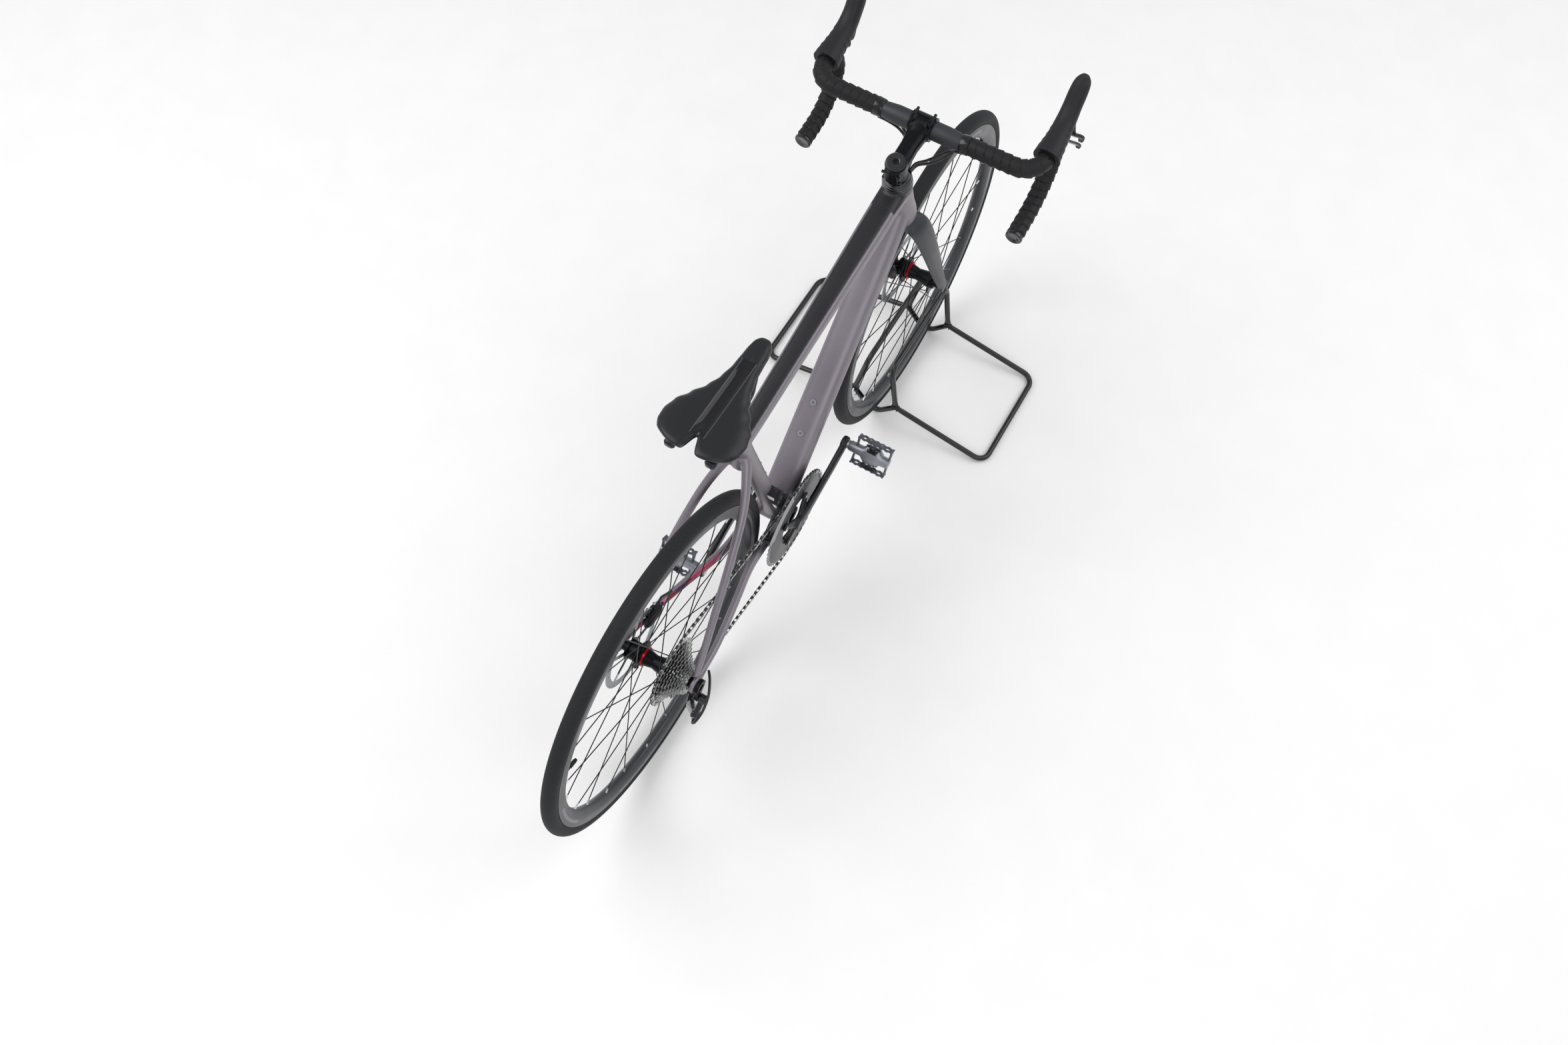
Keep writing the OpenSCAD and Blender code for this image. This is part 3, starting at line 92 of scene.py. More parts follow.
def finish(name, light, dark, grain, rough, bump=0.15, depth=0.2, **shader):
    """A finish whose colour drifts from light to dark over a grain in millimetres, with matching relief and sheen.
    Returns the material, its tree, its shader and the node that gives the colour."""
    m = bpy.data.materials.new(name)
    m.use_nodes = True
    tree = m.node_tree
    skin = tree.nodes["Principled BSDF"]
    for key, value in shader.items():
        skin.inputs[key.replace("_", " ")].default_value = value
    where = add(tree, "TexCoord").outputs["Object"]
    fine = add(tree, "TexNoise", {"Vector": where}, {"Scale": 1000 / grain, "Detail": 3})
    broad = add(tree, "TexNoise", {"Vector": where}, {"Scale": 9, "Detail": 3, "Roughness": 0.5})
    both = add(tree, "Math", {0: fine.outputs[0], 1: broad.outputs[0]}, operation="MULTIPLY")
    level = add(tree, "MapRange", {0: both.outputs[0]}, {1: 0.02, 2: 0.5})
    tint = add(tree, "Mix", {0: level.outputs[0]}, {6: colour(dark), 7: colour(light)}, data_type="RGBA")
    worn = add(tree, "MapRange", {0: broad.outputs[0]}, {1: 0.3, 2: 0.7, 3: max(0.02, rough - 0.06), 4: rough + 0.08})
    relief = add(tree, "Bump", {"Height": fine.outputs[0]}, {"Strength": bump, "Distance": depth * 0.001})
    tree.links.new(tint.outputs[2], skin.inputs["Base Color"])
    tree.links.new(worn.outputs[0], skin.inputs["Roughness"])
    tree.links.new(relief.outputs[0], skin.inputs["Normal"])
    return m, tree, skin, tint


def painted(tree, skin, under, code, masks):
    """Lays a second colour over a finish where every mask is 1."""
    cover = masks[0]
    for mask in masks[1:]:
        cover = add(tree, "Math", {0: cover, 1: mask}, operation="MULTIPLY").outputs[0]
    top = add(tree, "Mix", {0: cover, 6: under.outputs[2]}, {7: colour(code)}, data_type="RGBA")
    tree.links.new(top.outputs[2], skin.inputs["Base Color"])
    return top


def drawn(name, rings, sides=24, square=2.0, swell=lambda i, a: 1):
    """Extrudes a disc through rings, each (middle, half width, half depth); square is 2 for round and 4 for boxy."""
    bpy.ops.object.select_all(action="DESELECT")
    bpy.ops.mesh.primitive_circle_add(vertices=sides, radius=1, fill_type="NGON")
    o = bpy.context.object
    o.name = o.data.name = name
    bpy.ops.object.mode_set(mode="EDIT")
    turn = [2 * math.pi * k / sides for k in range(sides)]
    bow = [[math.copysign(abs(f(a)) ** (2 / square), f(a)) for a in turn] for f in (math.cos, math.sin)]
    for i, (middle, wide, deep) in enumerate(rings):
        if i:
            bpy.ops.mesh.extrude_region()
        bm = bmesh.from_edit_mesh(o.data)
        end = next(f for f in bm.faces if f.select)
        for v, c, s, a in zip(end.verts, *bow, turn):
            v.co = (middle + (wide * c + deep * s) * swell(i, a)) * 0.001
        bmesh.update_edit_mesh(o.data)
    bpy.ops.mesh.select_all(action="SELECT")
    bpy.ops.mesh.normals_make_consistent(inside=False)
    bpy.ops.object.mode_set(mode="OBJECT")
    return o


def line_rings(points, wide, deep=None, lead=side):
    """Rings square to a line of points; wide and deep are half sizes, one number or one for each point."""
    each = lambda v, i: v[i] if isinstance(v, (list, tuple)) else v
    deep = wide if deep is None else deep
    rings = []
    for i, p in enumerate(points):
        t = (points[min(i + 1, len(points) - 1)] - points[max(i - 1, 0)]).normalized()
        lead = (lead - t * lead.dot(t)).normalized()
        rings.append((p, lead * each(wide, i), t.cross(lead) * each(deep, i)))
    return rings


def curve(points, n=6):
    """Smooth line through the points, n steps to each."""
    p = [Vector(q) for q in points]
    out = []
    for i in range(len(p) - 1):
        a, b, c, d = p[max(i - 1, 0)], p[i], p[i + 1], p[min(i + 2, len(p) - 1)]
        out += [0.5 * (2 * b + (c - a) * t + (2 * a - 5 * b + 4 * c - d) * t * t + (3 * b - a - 3 * c + d) * t ** 3)
                for t in (k / n for k in range(n))]
    return out + [p[-1]]


def eased(values, n=6):
    """The same smooth steps for a list of sizes."""
    return [v.x for v in curve([(v, 0, 0) for v in values], n)]


def joined(name, parts):
    bpy.ops.object.select_all(action="DESELECT")
    for o in parts:
        o.select_set(True)
    bpy.context.view_layer.objects.active = parts[0]
    bpy.ops.object.join()
    o = bpy.context.object
    o.name = o.data.name = name
    return o


def applied(o):
    bpy.ops.object.select_all(action="DESELECT")
    o.select_set(True)
    bpy.context.view_layer.objects.active = o
    for m in [m.name for m in o.modifiers]:
        bpy.ops.object.modifier_apply(modifier=m)
    return o


def fused(name, parts, voxel, rounds):
    """Melts overlapping shells into one skin with soft fillets, as a moulding has."""
    o = joined(name, parts)
    skin = o.modifiers.new("skin", "REMESH")
    skin.mode, skin.voxel_size = "VOXEL", voxel * 0.001
    fair = o.modifiers.new("fair", "SMOOTH")
    fair.factor, fair.iterations = 0.5, rounds
    return applied(o)


def placed(o, body, material, slot, nodes=(), angle=35):
    """Gives a finished piece its material and its body, and lets it stand for CAD nodes."""
    o.data.materials.clear()
    o.data.materials.append(material)
    bpy.ops.object.select_all(action="DESELECT")
    o.select_set(True)
    bpy.context.view_layer.objects.active = o
    bpy.ops.object.shade_smooth_by_angle(angle=math.radians(angle))
    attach(o, body)
    if nodes:
        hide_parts(*nodes)
    return o


down = Vector((math.cos(math.radians(46.86)), 0, math.sin(math.radians(46.86))))
down_out = side.cross(down)
down_l = (in_steer(0, 0, 414).x - crank.x) / down.x
down_tube = [(crank + down * down_l * f, side * w, down_out * d) for f, w, d in
             ((-0.02, 27, 20), (0.03, 31, 22), (0.1, 31, 22.2), (0.2, 30.2, 22), (0.5, 29, 22),
              (0.8, 27.5, 22), (0.92, 26.5, 23), (1, 25, 24))]
top_a, top_b = crank + seat_up * 434.7, in_steer(0, 0, 471)
top = (top_b - top_a).normalized()
top_tube = [(top_a + (top_b - top_a) * f, side * w, side.cross(top) * d) for f, w, d in
            ((0, 16, 14), (0.08, 17, 14.6), (0.3, 18.6, 15.4), (0.6, 21.4, 17), (0.85, 23.8, 18.6), (1, 24, 20))]
head = [(in_steer(0, 0, s), steer_ahead * r, side * r) for s, r in
        ((372.3, 29.6), (390, 29.6), (404, 28), (420, 26.6), (450, 25.4), (467, 25.2), (489, 26.4), (496.8, 26.4))]
seat = [(crank + seat_up * t, side * w, seat_ahead * d) for t, w, d in
        ((-4, 22, 20), (24, 20, 19.5), (60, 17.4, 17.4), (120, 17, 17), (380, 17, 17), (420, 17.4, 17.8),
         (452, 17.6, 18.4))]
shell = [(crank + side * y, Vector((r, 0, 0)), Vector((0, 0, r))) for y,
         r in ((-34, 23.2), (-32.5, 24), (32.5, 24), (34, 23.2))]
stays = []
join = crank + seat_up * 385
for s in (1, -1):
    low = curve([(crank.x - 12, s * 26, crank.z - 2), (crank.x - 70, s * 27.5, crank.z + 6),
                 (rear.x + 265, s * 31, crank.z + 16),
                 (rear.x + 175, s * 50, crank.z + 35), (rear.x + 85, s * 67.5, rear.z - 16),
                 (rear.x + 14, s * 74.8, rear.z - 3)])
    stays.append(drawn("stay", line_rings(low, eased([8.4, 7.6, 7.4, 7.2, 6.8, 5.4]),
                                          eased([12, 12.4, 11.6, 9.8, 8.2, 8])), 20, 2.4))
    high = curve([join + Vector((-10, s * 7, 6)), join + Vector((-20, s * 17, -3)), (rear.x + 232, s * 38, 588),
                  (rear.x + 170, s * 52, 528), (rear.x + 110, s * 61, 467), (rear.x + 62, s * 68, 417),
                  (rear.x + 8, s * 75, rear.z + 20)])
    stays.append(drawn("stay", line_rings(high, eased([9, 8.6, 7.8, 7.4, 7, 6.8, 5.6]),
                                          eased([10, 9.6, 8.8, 8.4, 8, 7.8, 7])), 20, 2.3))
    stays.append(drawn("stay", [(rear + side * s * y, Vector((r, 0, 0)), Vector((0, 0, r)))
                                for y, r in ((71.6, 15.4), (73, 16.6), (79.6, 16.6), (81.2, 15.2))], 32))
bridge = [(join + Vector((-12, 0, 24)), side * 9, seat_ahead * 8),
          (join + Vector((-13, 0, 12)), side * 14, seat_ahead * 13),
          (join + Vector((-14, 0, -6)), side * 17, seat_ahead * 13),
          (join + Vector((-18, 0, -20)), side * 15, seat_ahead * 8)]
moulded = fused("moulded_frame",
                [drawn("tube", r, 36, q) for r, q in ((down_tube, 2.9), (top_tube, 3.2), (head, 2), (seat, 2.1),
                                                                     (shell, 2), (bridge, 2.2))] + stays, 2.2, 5)

# Matt metallic lacquer on carbon: fine flakes give a satin sheen that turns from dark to light mauve.
lacquer, tree, skin, tint = finish("matt_metallic_lacquer", "#878187", "#767077", 0.9, 0.4, 0.06, 0.05,
                                   Metallic=0.55, Coat_Weight=0.15, Coat_Roughness=0.35)
place = add(tree, "SeparateXYZ", {0: add(tree, "TexCoord").outputs["Object"]})
facing = add(tree, "SeparateXYZ", {0: add(tree, "NewGeometry").outputs["Normal"]})


def between(tree, value, low, high):
    """1 where a value lies between two limits."""
    above = add(tree, "Math", {0: value}, {1: low}, operation="GREATER_THAN").outputs[0]
    below = add(tree, "Math", {0: value}, {1: high}, operation="LESS_THAN").outputs[0]
    return add(tree, "Math", {0: above, 1: below}, operation="MULTIPLY").outputs[0]


x, y, z = (place.outputs[i] for i in range(3))
rise = add(tree, "Math", {0: x}, {1: -top.z / top.x, 2: -0.001 * (top_a.z - top_a.x * top.z / top.x)},
           operation="MULTIPLY_ADD")
over = add(tree, "Math", {0: z, 1: rise.outputs[0]}, operation="ADD").outputs[0]
upward = add(tree, "MapRange", {0: facing.outputs[2]}, {1: 0.78, 2: 0.9}).outputs[0]
panel = painted(tree, skin, tint, "#262529", [upward, between(tree, over, 0.006, 0.03), between(tree, x, -0.2, 0.285)])
panel = painted(tree, skin, panel, "#2b2a2e", [between(tree, z, 0.776, 0.9), between(tree, x, 0.25, 0.4)])
blot = add(tree, "TexVoronoi", {"Vector": add(tree, "TexCoord").outputs["Object"]}, {"Scale": 62, "Randomness": 1})
stain = add(tree, "ValToRGB", {0: blot.outputs["Color"]})
for at, code in zip((0.0, 0.3, 0.55, 0.8), ("#3a1f45", "#a03a5c", "#7a2438", "#d06a8c")):
    e = stain.color_ramp.elements[0] if at == 0 else stain.color_ramp.elements.new(at)
    e.position, e.color = at, colour(code)
stain.color_ramp.interpolation = "CONSTANT"
inner = add(tree, "MapRange", {0: facing.outputs[1]}, {1: -0.25, 2: -0.45}).outputs[0]
low_stay = [between(tree, y, 0.028, 0.078), between(tree, x, -0.46, -0.2), between(tree, z, 0.24, 0.348)]
cover = inner
for mask in low_stay:
    cover = add(tree, "Math", {0: cover, 1: mask}, operation="MULTIPLY").outputs[0]
camo = add(tree, "Mix", {0: cover, 6: panel.outputs[2], 7: stain.outputs[0]}, data_type="RGBA")
tree.links.new(camo.outputs[2], skin.inputs["Base Color"])
outer = add(tree, "MapRange", {0: facing.outputs[1]}, {1: 0.35, 2: 0.5}).outputs[0]
painted(tree, skin, camo, "#a8242c", [outer, between(tree, y, -0.074, -0.03), between(tree, x, -0.44, -0.24),
                                      between(tree, facing.outputs[2], -0.1, 0.25)])
placed(moulded, "frame", lacquer, "frame_carbon", ("front_triangle", "chainstays", "seatstays"), 60)

# Small fittings of the frame stay as they are in CAD: turned and machined parts with their own finishes.
def kept(material, *nodes):
    """CAD nodes whose shape is right get a finish."""
    for name in nodes:
        data = frame["nodes"][name].data
        data.materials.clear()
        data.materials.append(material)


# Black anodised aluminium: satin, with a faint lighter bloom on its machined faces.
black_anodised = finish("black_anodised_aluminium", "#1f2023", "#101113", 0.6, 0.34, 0.05, 0.04, Metallic=0.85)[0]
# Turned stainless steel: bright, with fine tool marks.
bright_steel = finish("turned_stainless_steel", "#c6c7c9", "#96989b", 0.35, 0.24, 0.08, 0.03, Metallic=1.0)[0]
kept(black_anodised, "bottom_bracket", "seatpost_wedge", "rear_axle", "front_axle", "derailleur_hanger")
kept(bright_steel, "headset_bearings", "bottle_bosses")

# ---- Wheels ----
# Each tyre is vulcanised rubber with a moulded tread of slanting sipes; each rim is aluminium, about 30 mm deep,
# painted dark grey, laced with black spokes in brass nipples to a black alloy hub.


def turned(name, middle, profile, steps=144, axis=side):
    """Spins a closed outline of (along, radius) points round an axis."""
    out = Vector((0, 0, 1)) if abs(axis.z) < 0.9 else Vector((1, 0, 0))
    out = (out - axis * out.dot(axis)).normalized()
    bpy.ops.object.select_all(action="DESELECT")
    bpy.ops.object.add(type="MESH")
    o = bpy.context.object
    o.name = o.data.name = name
    bpy.ops.object.mode_set(mode="EDIT")
    bm = bmesh.from_edit_mesh(o.data)
    loop = [bm.verts.new((middle + axis * a + out * r) * 0.001) for a, r in profile]
    for i, v in enumerate(loop):
        bm.edges.new((v, loop[(i + 1) % len(loop)]))
    bmesh.update_edit_mesh(o.data)
    bpy.ops.mesh.select_all(action="SELECT")
    bpy.ops.mesh.spin(steps=steps, angle=2 * math.pi, center=middle * 0.001, axis=axis)
    bpy.ops.mesh.select_all(action="SELECT")
    bpy.ops.mesh.remove_doubles(threshold=0.000001)
    bpy.ops.mesh.normals_make_consistent(inside=False)
    bpy.ops.object.mode_set(mode="OBJECT")
    return o


def copies(name, master, places):
    """Copies a shape to each matrix in millimetres and joins the copies; the master goes."""
    made = []
    for m in places:
        o = master.copy()
        o.data = master.data.copy()
        bpy.context.scene.collection.objects.link(o)
        m = m.copy()
        m.translation *= 0.001
        o.data.transform(m)
        if m.determinant() < 0:
            o.data.flip_normals()
        made.append(o)
    bpy.data.objects.remove(master)
    return joined(name, made)


def aimed(at, along, across=side):
    """Matrix that stands a shape's Z along a direction at a point."""
    z = Vector(along).normalized()
    x = (across - z * across.dot(z)).normalized()
    m = Matrix((x, z.cross(x), z)).transposed().to_4x4()
    m.translation = Vector(at)
    return m


# Stove painted aluminium: even dark grey with a satin sheen.
spoke_paint = finish("black_spoke_lacquer", "#1c1c1e", "#0e0e0f", 0.5, 0.3, 0.04, 0.03, Metallic=0.6)[0]
# Brushed stainless rotor: fine circular grinding, darker where the pads don't reach.
rotor_steel, tree, skin, tint = finish("ground_stainless_rotor", "#b4b7bb", "#8b8e92", 0.25, 0.22, 0.12, 0.03,
                                       Metallic=1.0)
at = add(tree, "SeparateXYZ", {0: add(tree, "TexCoord").outputs["Object"]})
ahead = add(tree, "Math", {0: add(tree, "Math", {0: at.outputs[0]}, operation="ABSOLUTE").outputs[0]},
            {1: front.x * 0.001},
            operation="SUBTRACT")
above = add(tree, "Math", {0: at.outputs[2]}, {1: front.z * 0.001}, operation="SUBTRACT")
far = add(tree, "Math", {0: add(tree, "Math", {0: ahead.outputs[0]}, {1: 2}, operation="POWER").outputs[0],
                         1: add(tree, "Math", {0: above.outputs[0]}, {1: 2}, operation="POWER").outputs[0]},
                         operation="ADD")
painted(tree, skin, tint, "#1b1c1e", [between(tree, far.outputs[0], -1, 0.051 ** 2)])
red_anodised = finish("red_anodised_aluminium", "#c01f2a", "#8c141d", 0.6, 0.3, 0.05, 0.04, Metallic=0.8)[0]
kept(rotor_steel, "front_rotor", "rear_rotor")
kept(spoke_paint, "front_spokes", "rear_spokes")
kept(black_anodised, "front_hub", "rear_hub")
for name, hub, valve_at, ring_at in (("front", front, 36, 15), ("rear", rear, 158, 22)):
    bulge = [math.radians(a) for a in range(-126, 127, 12)]
    casing = [(14 * math.sin(a), 326 + 14 * math.cos(a)) for a in bulge]
    casing += [(11.2 * math.sin(a), 326 + 11.2 * math.cos(a)) for a in reversed(bulge)]
    tyre = turned(name + "_road_tyre", hub, casing, 240)
    # Tyre rubber: dull charcoal, with sipes cut each 11 mm along both shoulders and a faint moulded texture.
    rubber, tree, skin, tint = finish(name + "_tyre_rubber", "#232426", "#18191a", 1.2, 0.74, 0.2, 0.25,
                                      Specular_IOR_Level=0.3)
    at = add(tree, "SeparateXYZ", {0: add(tree, "Mapping", {0: add(tree, "TexCoord").outputs["Object"]},
                                          {1: (-hub.x * 0.001, 0, -hub.z * 0.001)}).outputs[0]})
    turn = add(tree, "Math", {0: at.outputs[2], 1: at.outputs[0]}, operation="ARCTAN2")
    off = add(tree, "Math", {0: at.outputs[1]}, operation="ABSOLUTE")
    lean = add(tree, "Math", {0: off.outputs[0]}, {1: 95.0}, operation="MULTIPLY")
    steps = add(tree, "Math", {0: turn.outputs[0], 2: lean.outputs[0]}, {1: 194 / (2 * math.pi)},
                operation="MULTIPLY_ADD")
    share = add(tree, "Math", {0: steps.outputs[0]}, operation="FRACT")
    cut = between(tree, share.outputs[0], 0.42, 0.6)
    band = between(tree, off.outputs[0], 0.0035, 0.0098)
    painted(tree, skin, tint, "#1d1d1f", [cut, band])
    deep = add(tree, "Math", {0: cut, 1: band}, operation="MULTIPLY")
    relief = add(tree, "Bump", {"Height": deep.outputs[0], "Normal": skin.inputs["Normal"].links[0].from_socket},
                 {"Strength": 0.8, "Distance": 0.0006}, invert=True)
    tree.links.new(relief.outputs[0], skin.inputs["Normal"])
    placed(tyre, name + "_wheel", rubber, "tyre_rubber", (name + "_tyre",), 60)
    wall = [(12, 317), (12.2, 311), (12.5, 304), (12.0, 299), (10.4, 295), (8, 291), (5.4, 288), (2.4, 286.9)]
    hoop = turned(name + "_deep_rim", hub,
                  [(-a, r) for a, r in wall] + [(a, r) for a, r in reversed(wall)] + [(9.8, 317), (9.8, 309),
                                                                                      (-9.8, 309), (-9.8, 317)], 200)
    # Painted rim: satin dark grey with a paler band of plain blocks on its flanks.
    paint, tree, skin, tint = finish(name + "_rim_paint", "#3f4043", "#303134", 0.8, 0.36, 0.04, 0.03, Metallic=0.35)
    at = add(tree, "SeparateXYZ", {0: add(tree, "Mapping", {0: add(tree, "TexCoord").outputs["Object"]},
                                          {1: (-hub.x * 0.001, 0, -hub.z * 0.001)}).outputs[0]})
    turn = add(tree, "Math", {0: at.outputs[2], 1: at.outputs[0]}, operation="ARCTAN2")
    thirds = add(tree, "Math", {0: turn.outputs[0]}, {1: 3 / math.pi, 2: 0.2}, operation="MULTIPLY_ADD")
    share = add(tree, "Math", {0: thirds.outputs[0]}, operation="FRACT")
    far = add(tree, "Math", {0: add(tree, "Math", {0: at.outputs[0]}, {1: 2}, operation="POWER").outputs[0],
                             1: add(tree, "Math", {0: at.outputs[2]}, {1: 2}, operation="POWER").outputs[0]},
                             operation="ADD")
    painted(tree, skin, tint, "#6d6e72",
            [between(tree, share.outputs[0], 0.1, 0.52), between(tree, far.outputs[0], 0.3025 ** 2, 0.3085 ** 2)])
    placed(hoop, name + "_wheel", paint, "rim_finish", (name + "_rim",), 50)
    nipple = drawn("nipple", [(Vector((0, 0, h)), Vector((r, 0, 0)), Vector((0, r, 0))) for h, r in
                              ((-1, 2.1), (2, 2.1), (2.6, 1.75), (10, 1.6), (11, 1.2))], 8)
    flanges = (24, 34) if name == "front" else (33, 20)
    ends = []
    for s, flange in ((1, flanges[0]), (-1, flanges[1])):
        for i in range(12):
            turn, way = math.radians(i * 30 + (0 if s > 0 else 15)), (1 if i % 2 == 0 else -1)
            hub_a = turn + way * math.radians(69)
            tip = hub + Vector((286.7 * math.cos(turn), s * 1.6, -286.7 * math.sin(turn)))
            root = hub + Vector((24 * math.cos(hub_a), s * (flange + 3.4 * way), -24 * math.sin(hub_a)))
            ends.append(aimed(tip, root - tip))
    placed(copies(name + "_nipples", nipple, ends), name + "_wheel", bright_steel, "silver_steel")
    ray = Vector((math.cos(math.radians(valve_at)), 0, math.sin(math.radians(valve_at))))
    valve = turned(name + "_valve", hub + ray * 288,
                   [(0, 0), (0, 4.4), (-2.4, 4.4), (-2.6, 3), (-16, 3), (-16.4, 3.9), (-30, 3.7),
                                                   (-34, 2.8), (-35, 0)], 20, ray)
    placed(valve, name + "_wheel", spoke_paint, "spoke_black")
    ring = turned(name + "_hub_ring", hub,
                  [(ring_at, 18.4), (ring_at + 0.5, 19), (ring_at + 4.5, 19), (ring_at + 5, 18.4), (ring_at + 5, 12.5),
                   (ring_at, 12.5)], 48)
    placed(ring, name + "_wheel", red_anodised, "spoke_black")

# ---- Fork ----
# Carbon fork moulded in one piece: two blades that taper from a wide crown to thin ends which hold the axle.
# It has a plain matt dark grey lacquer.
blades = []
for s in (1, -1):
    leg = [in_steer(*p) for p in ((1, s * 18, 356), (3, s * 33, 345), (7, s * 42, 312), (13, s * 48.5, 250),
                                  (22, s * 53.3, 170),
                                 (32, s * 55.4, 90), (43, s * 56.4, 22), (46, s * 56.3, 2))]
    blades.append(drawn("blade", line_rings(curve(leg), eased([12, 13, 12.2, 11, 9.6, 7.9, 6.2, 5.6]),
                                            eased([20, 23, 22.6, 20.6, 18, 15, 12.4, 11])), 28, 2.3))
    blades.append(drawn("blade", [(in_steer(47, s * y, 0), Vector((r, 0, 0)), Vector((0, 0, r)))
                                  for y, r in ((50.5, 12.6), (51.6, 13.8), (61, 13.8), (62.3, 12.8))], 32))
blades.append(drawn("crown", [(in_steer(dx, 0, s), side * w, steer_ahead * d) for dx, s, w, d in
                              ((0, 371.6, 26.6, 26.6), (0, 364, 27.4, 27), (1, 354, 35, 25.6), (3, 343, 43, 22),
                               (4, 337, 40, 17))], 40, 2.2))
fork_lacquer = finish("matt_dark_lacquer", "#414246", "#303135", 0.9, 0.44, 0.05, 0.05, Metallic=0.35)[0]
placed(fused("moulded_fork", blades, 2, 5), "fork", fork_lacquer, "fork_carbon", ("fork",), 60)

# ---- Disc brakes ----
# Flat mount callipers: a forged and machined aluminium body in matt black that straddles the rotor, with a round
# cap over the outer piston and two steel bolts.


def carved(o, cutter):
    """Cuts one shape out of another."""
    cut = o.modifiers.new("cut", "BOOLEAN")
    cut.object, cut.solver = cutter, "EXACT"
    applied(o)
    bpy.data.objects.remove(cutter)
    return o


def calliper(name, body, middle, along, inner, outer, half, hub, rotor_y, node):
    away = along.cross(side)
    y, deep = (inner + outer) / 2, (outer - inner) / 2
    rings = [(middle + side * y + along * t, side * deep * w, away * d) for t, w, d in
             ((-half, 0.62, 6.5), (-half + 3, 0.8, 8.6), (-half * 0.5, 1, 10.4), (0, 1, 10.8), (half * 0.5, 1, 10.4),
              (half - 3, 0.8, 8.4), (half, 0.6, 6))]
    core = drawn(name, rings, 32, 3.6)
    carved(core, turned("slot", hub + side * rotor_y, [(-1.7, 0.01), (-1.7, 81.4), (1.7, 81.4), (1.7, 0.01)], 96))
    bevel = core.modifiers.new("edge", "BEVEL")
    bevel.width, bevel.segments, bevel.limit_method = 0.0006, 2, "ANGLE"
    applied(core)
    cap = turned("cap", middle + side * outer,
                 [(-3, 0.01), (-3, 8), (1.6, 8), (2.6, 7.2), (2.6, 5), (1.4, 4.4), (1.4, 0.01)], 40)
    placed(joined(name, [core, cap]), body, forged_black, "black_alloy", (node,), 40)
    bolts = [turned("bolt", middle + side * (y + deep * 0.6) + along * t + away * 9.5,
                    [(-1, 0.01), (-1, 3.4), (2.2, 3.4), (2.8, 2.8), (2.8, 1.7), (1.2, 1.6), (1.2, 0.01)], 24, away)
             for t in (-half + 8, half - 8)]
    placed(joined(name + "_bolts", bolts), body, bright_steel, "silver_steel")


# Forged aluminium under black anodising: satin with a slight cast texture.
forged_black = finish("forged_black_aluminium", "#232427", "#131416", 0.8, 0.42, 0.2, 0.08, Metallic=0.6)[0]
lean = math.radians(98)
calliper("front_calliper", "fork", in_steer(6, 0, 62), steer_ahead * math.cos(lean) + steer_up * math.sin(lean), 27.5,
         51, 27, front, 39, "front_brake_caliper")
dip = math.radians(10)
calliper("rear_calliper", "frame", rear + Vector((67, 0, 16)), Vector((math.cos(dip), 0, -math.sin(dip))), 43, 64.5,
         25, rear, 55.5, "rear_brake_caliper")

# ---- Headset and stem ----
# A ridged dust cover tapers from the head tube to a thin spacer, with a port for the hoses on its right front.
# The stem is forged aluminium in satin black; four bolts hold its faceplate and two pinch it on the steerer.
cone = [(497.3 + h, r) for h, r in ((0, 14.4), (0, 26), (2.6, 25.8), (3, 24.9), (5.4, 24.6), (5.8, 24.9), (8, 24.2),
                                    (8.4, 23.2), (10.6, 22.6), (11, 23),
                                    (13, 21.9), (13.4, 20.8), (15.6, 20), (16, 19.2), (16, 14.4))]
cover = turned("headset_dust_cover", in_steer(0, 0, 0), cone, 96, steer_up)
carved(cover, drawn("port", [(in_steer(12 + t, -11, 505.2), side * 7.4, steer_up * 6) for t in (0, 30)], 32, 4))
# Moulded nylon cover: glossy near black with soft moulding texture.
moulded_nylon = finish("glossy_black_nylon", "#161719", "#0c0c0e", 1.0, 0.2, 0.05, 0.05, Coat_Weight=0.4,
                       Coat_Roughness=0.08)[0]
placed(cover, "fork", moulded_nylon, "gloss_black", ("headset_cone",), 30)
kept(moulded_nylon, "headset_spacer")
cap = turned("headset_top_cap", in_steer(0, 0, 556.3),
             [(0.1, 3.2), (0.1, 16.4), (1.2, 17), (3, 17), (4.6, 15.8), (5, 13), (4.9, 8), (4.4, 5.4), (2.4, 5),
              (2.4, 3.2)], 64, steer_up)
bolt = turned("cap_bolt", in_steer(0, 0, 556.3),
              [(-18, 0.01), (-18, 3), (1, 3), (1, 4.7), (3.6, 4.7), (4.2, 4.1), (4.2, 2.6), (2, 2.4), (2, 0.01)], 32,
              steer_up)
placed(cap, "fork", moulded_nylon, "gloss_black", ("top_cap",), 30)
placed(bolt, "fork", forged_black, "black_alloy")
stem_middle = in_steer(0, 0, 537.3)
stem_ahead = Vector((math.cos(math.radians(11.5)), 0, math.sin(math.radians(11.5))))
stem_over = side.cross(stem_ahead) * -1
bar = stem_middle + stem_ahead * 90
clamp = drawn("stem", [(in_steer(0, 0, 518.4 + s), steer_ahead * r, side * r) for s,
                       r in ((0, 17.9), (0.8, 18.5), (37, 18.5), (37.9, 17.8))], 48)
ears = drawn("stem", [(in_steer(x, 0, 537.3), side * w, steer_up * 18) for x,
                      w in ((-12, 15), (-17, 14.4), (-21, 12))], 32, 4)
neck = drawn("stem", [(stem_middle + stem_ahead * t, side * w, stem_over * d) for t, w, d in
                      ((4, 16.6, 16), (20, 16, 15), (45, 15.6, 14.2), (66, 17.6, 15), (76, 20, 17.4), (84, 20.6, 19))],
                      40, 2.7)
grip = drawn("stem", [(bar + side * y, stem_ahead * r, stem_over * r) for y,
                      r in ((-20.8, 19.6), (-20, 20.4), (20, 20.4), (20.8, 19.6))], 64)
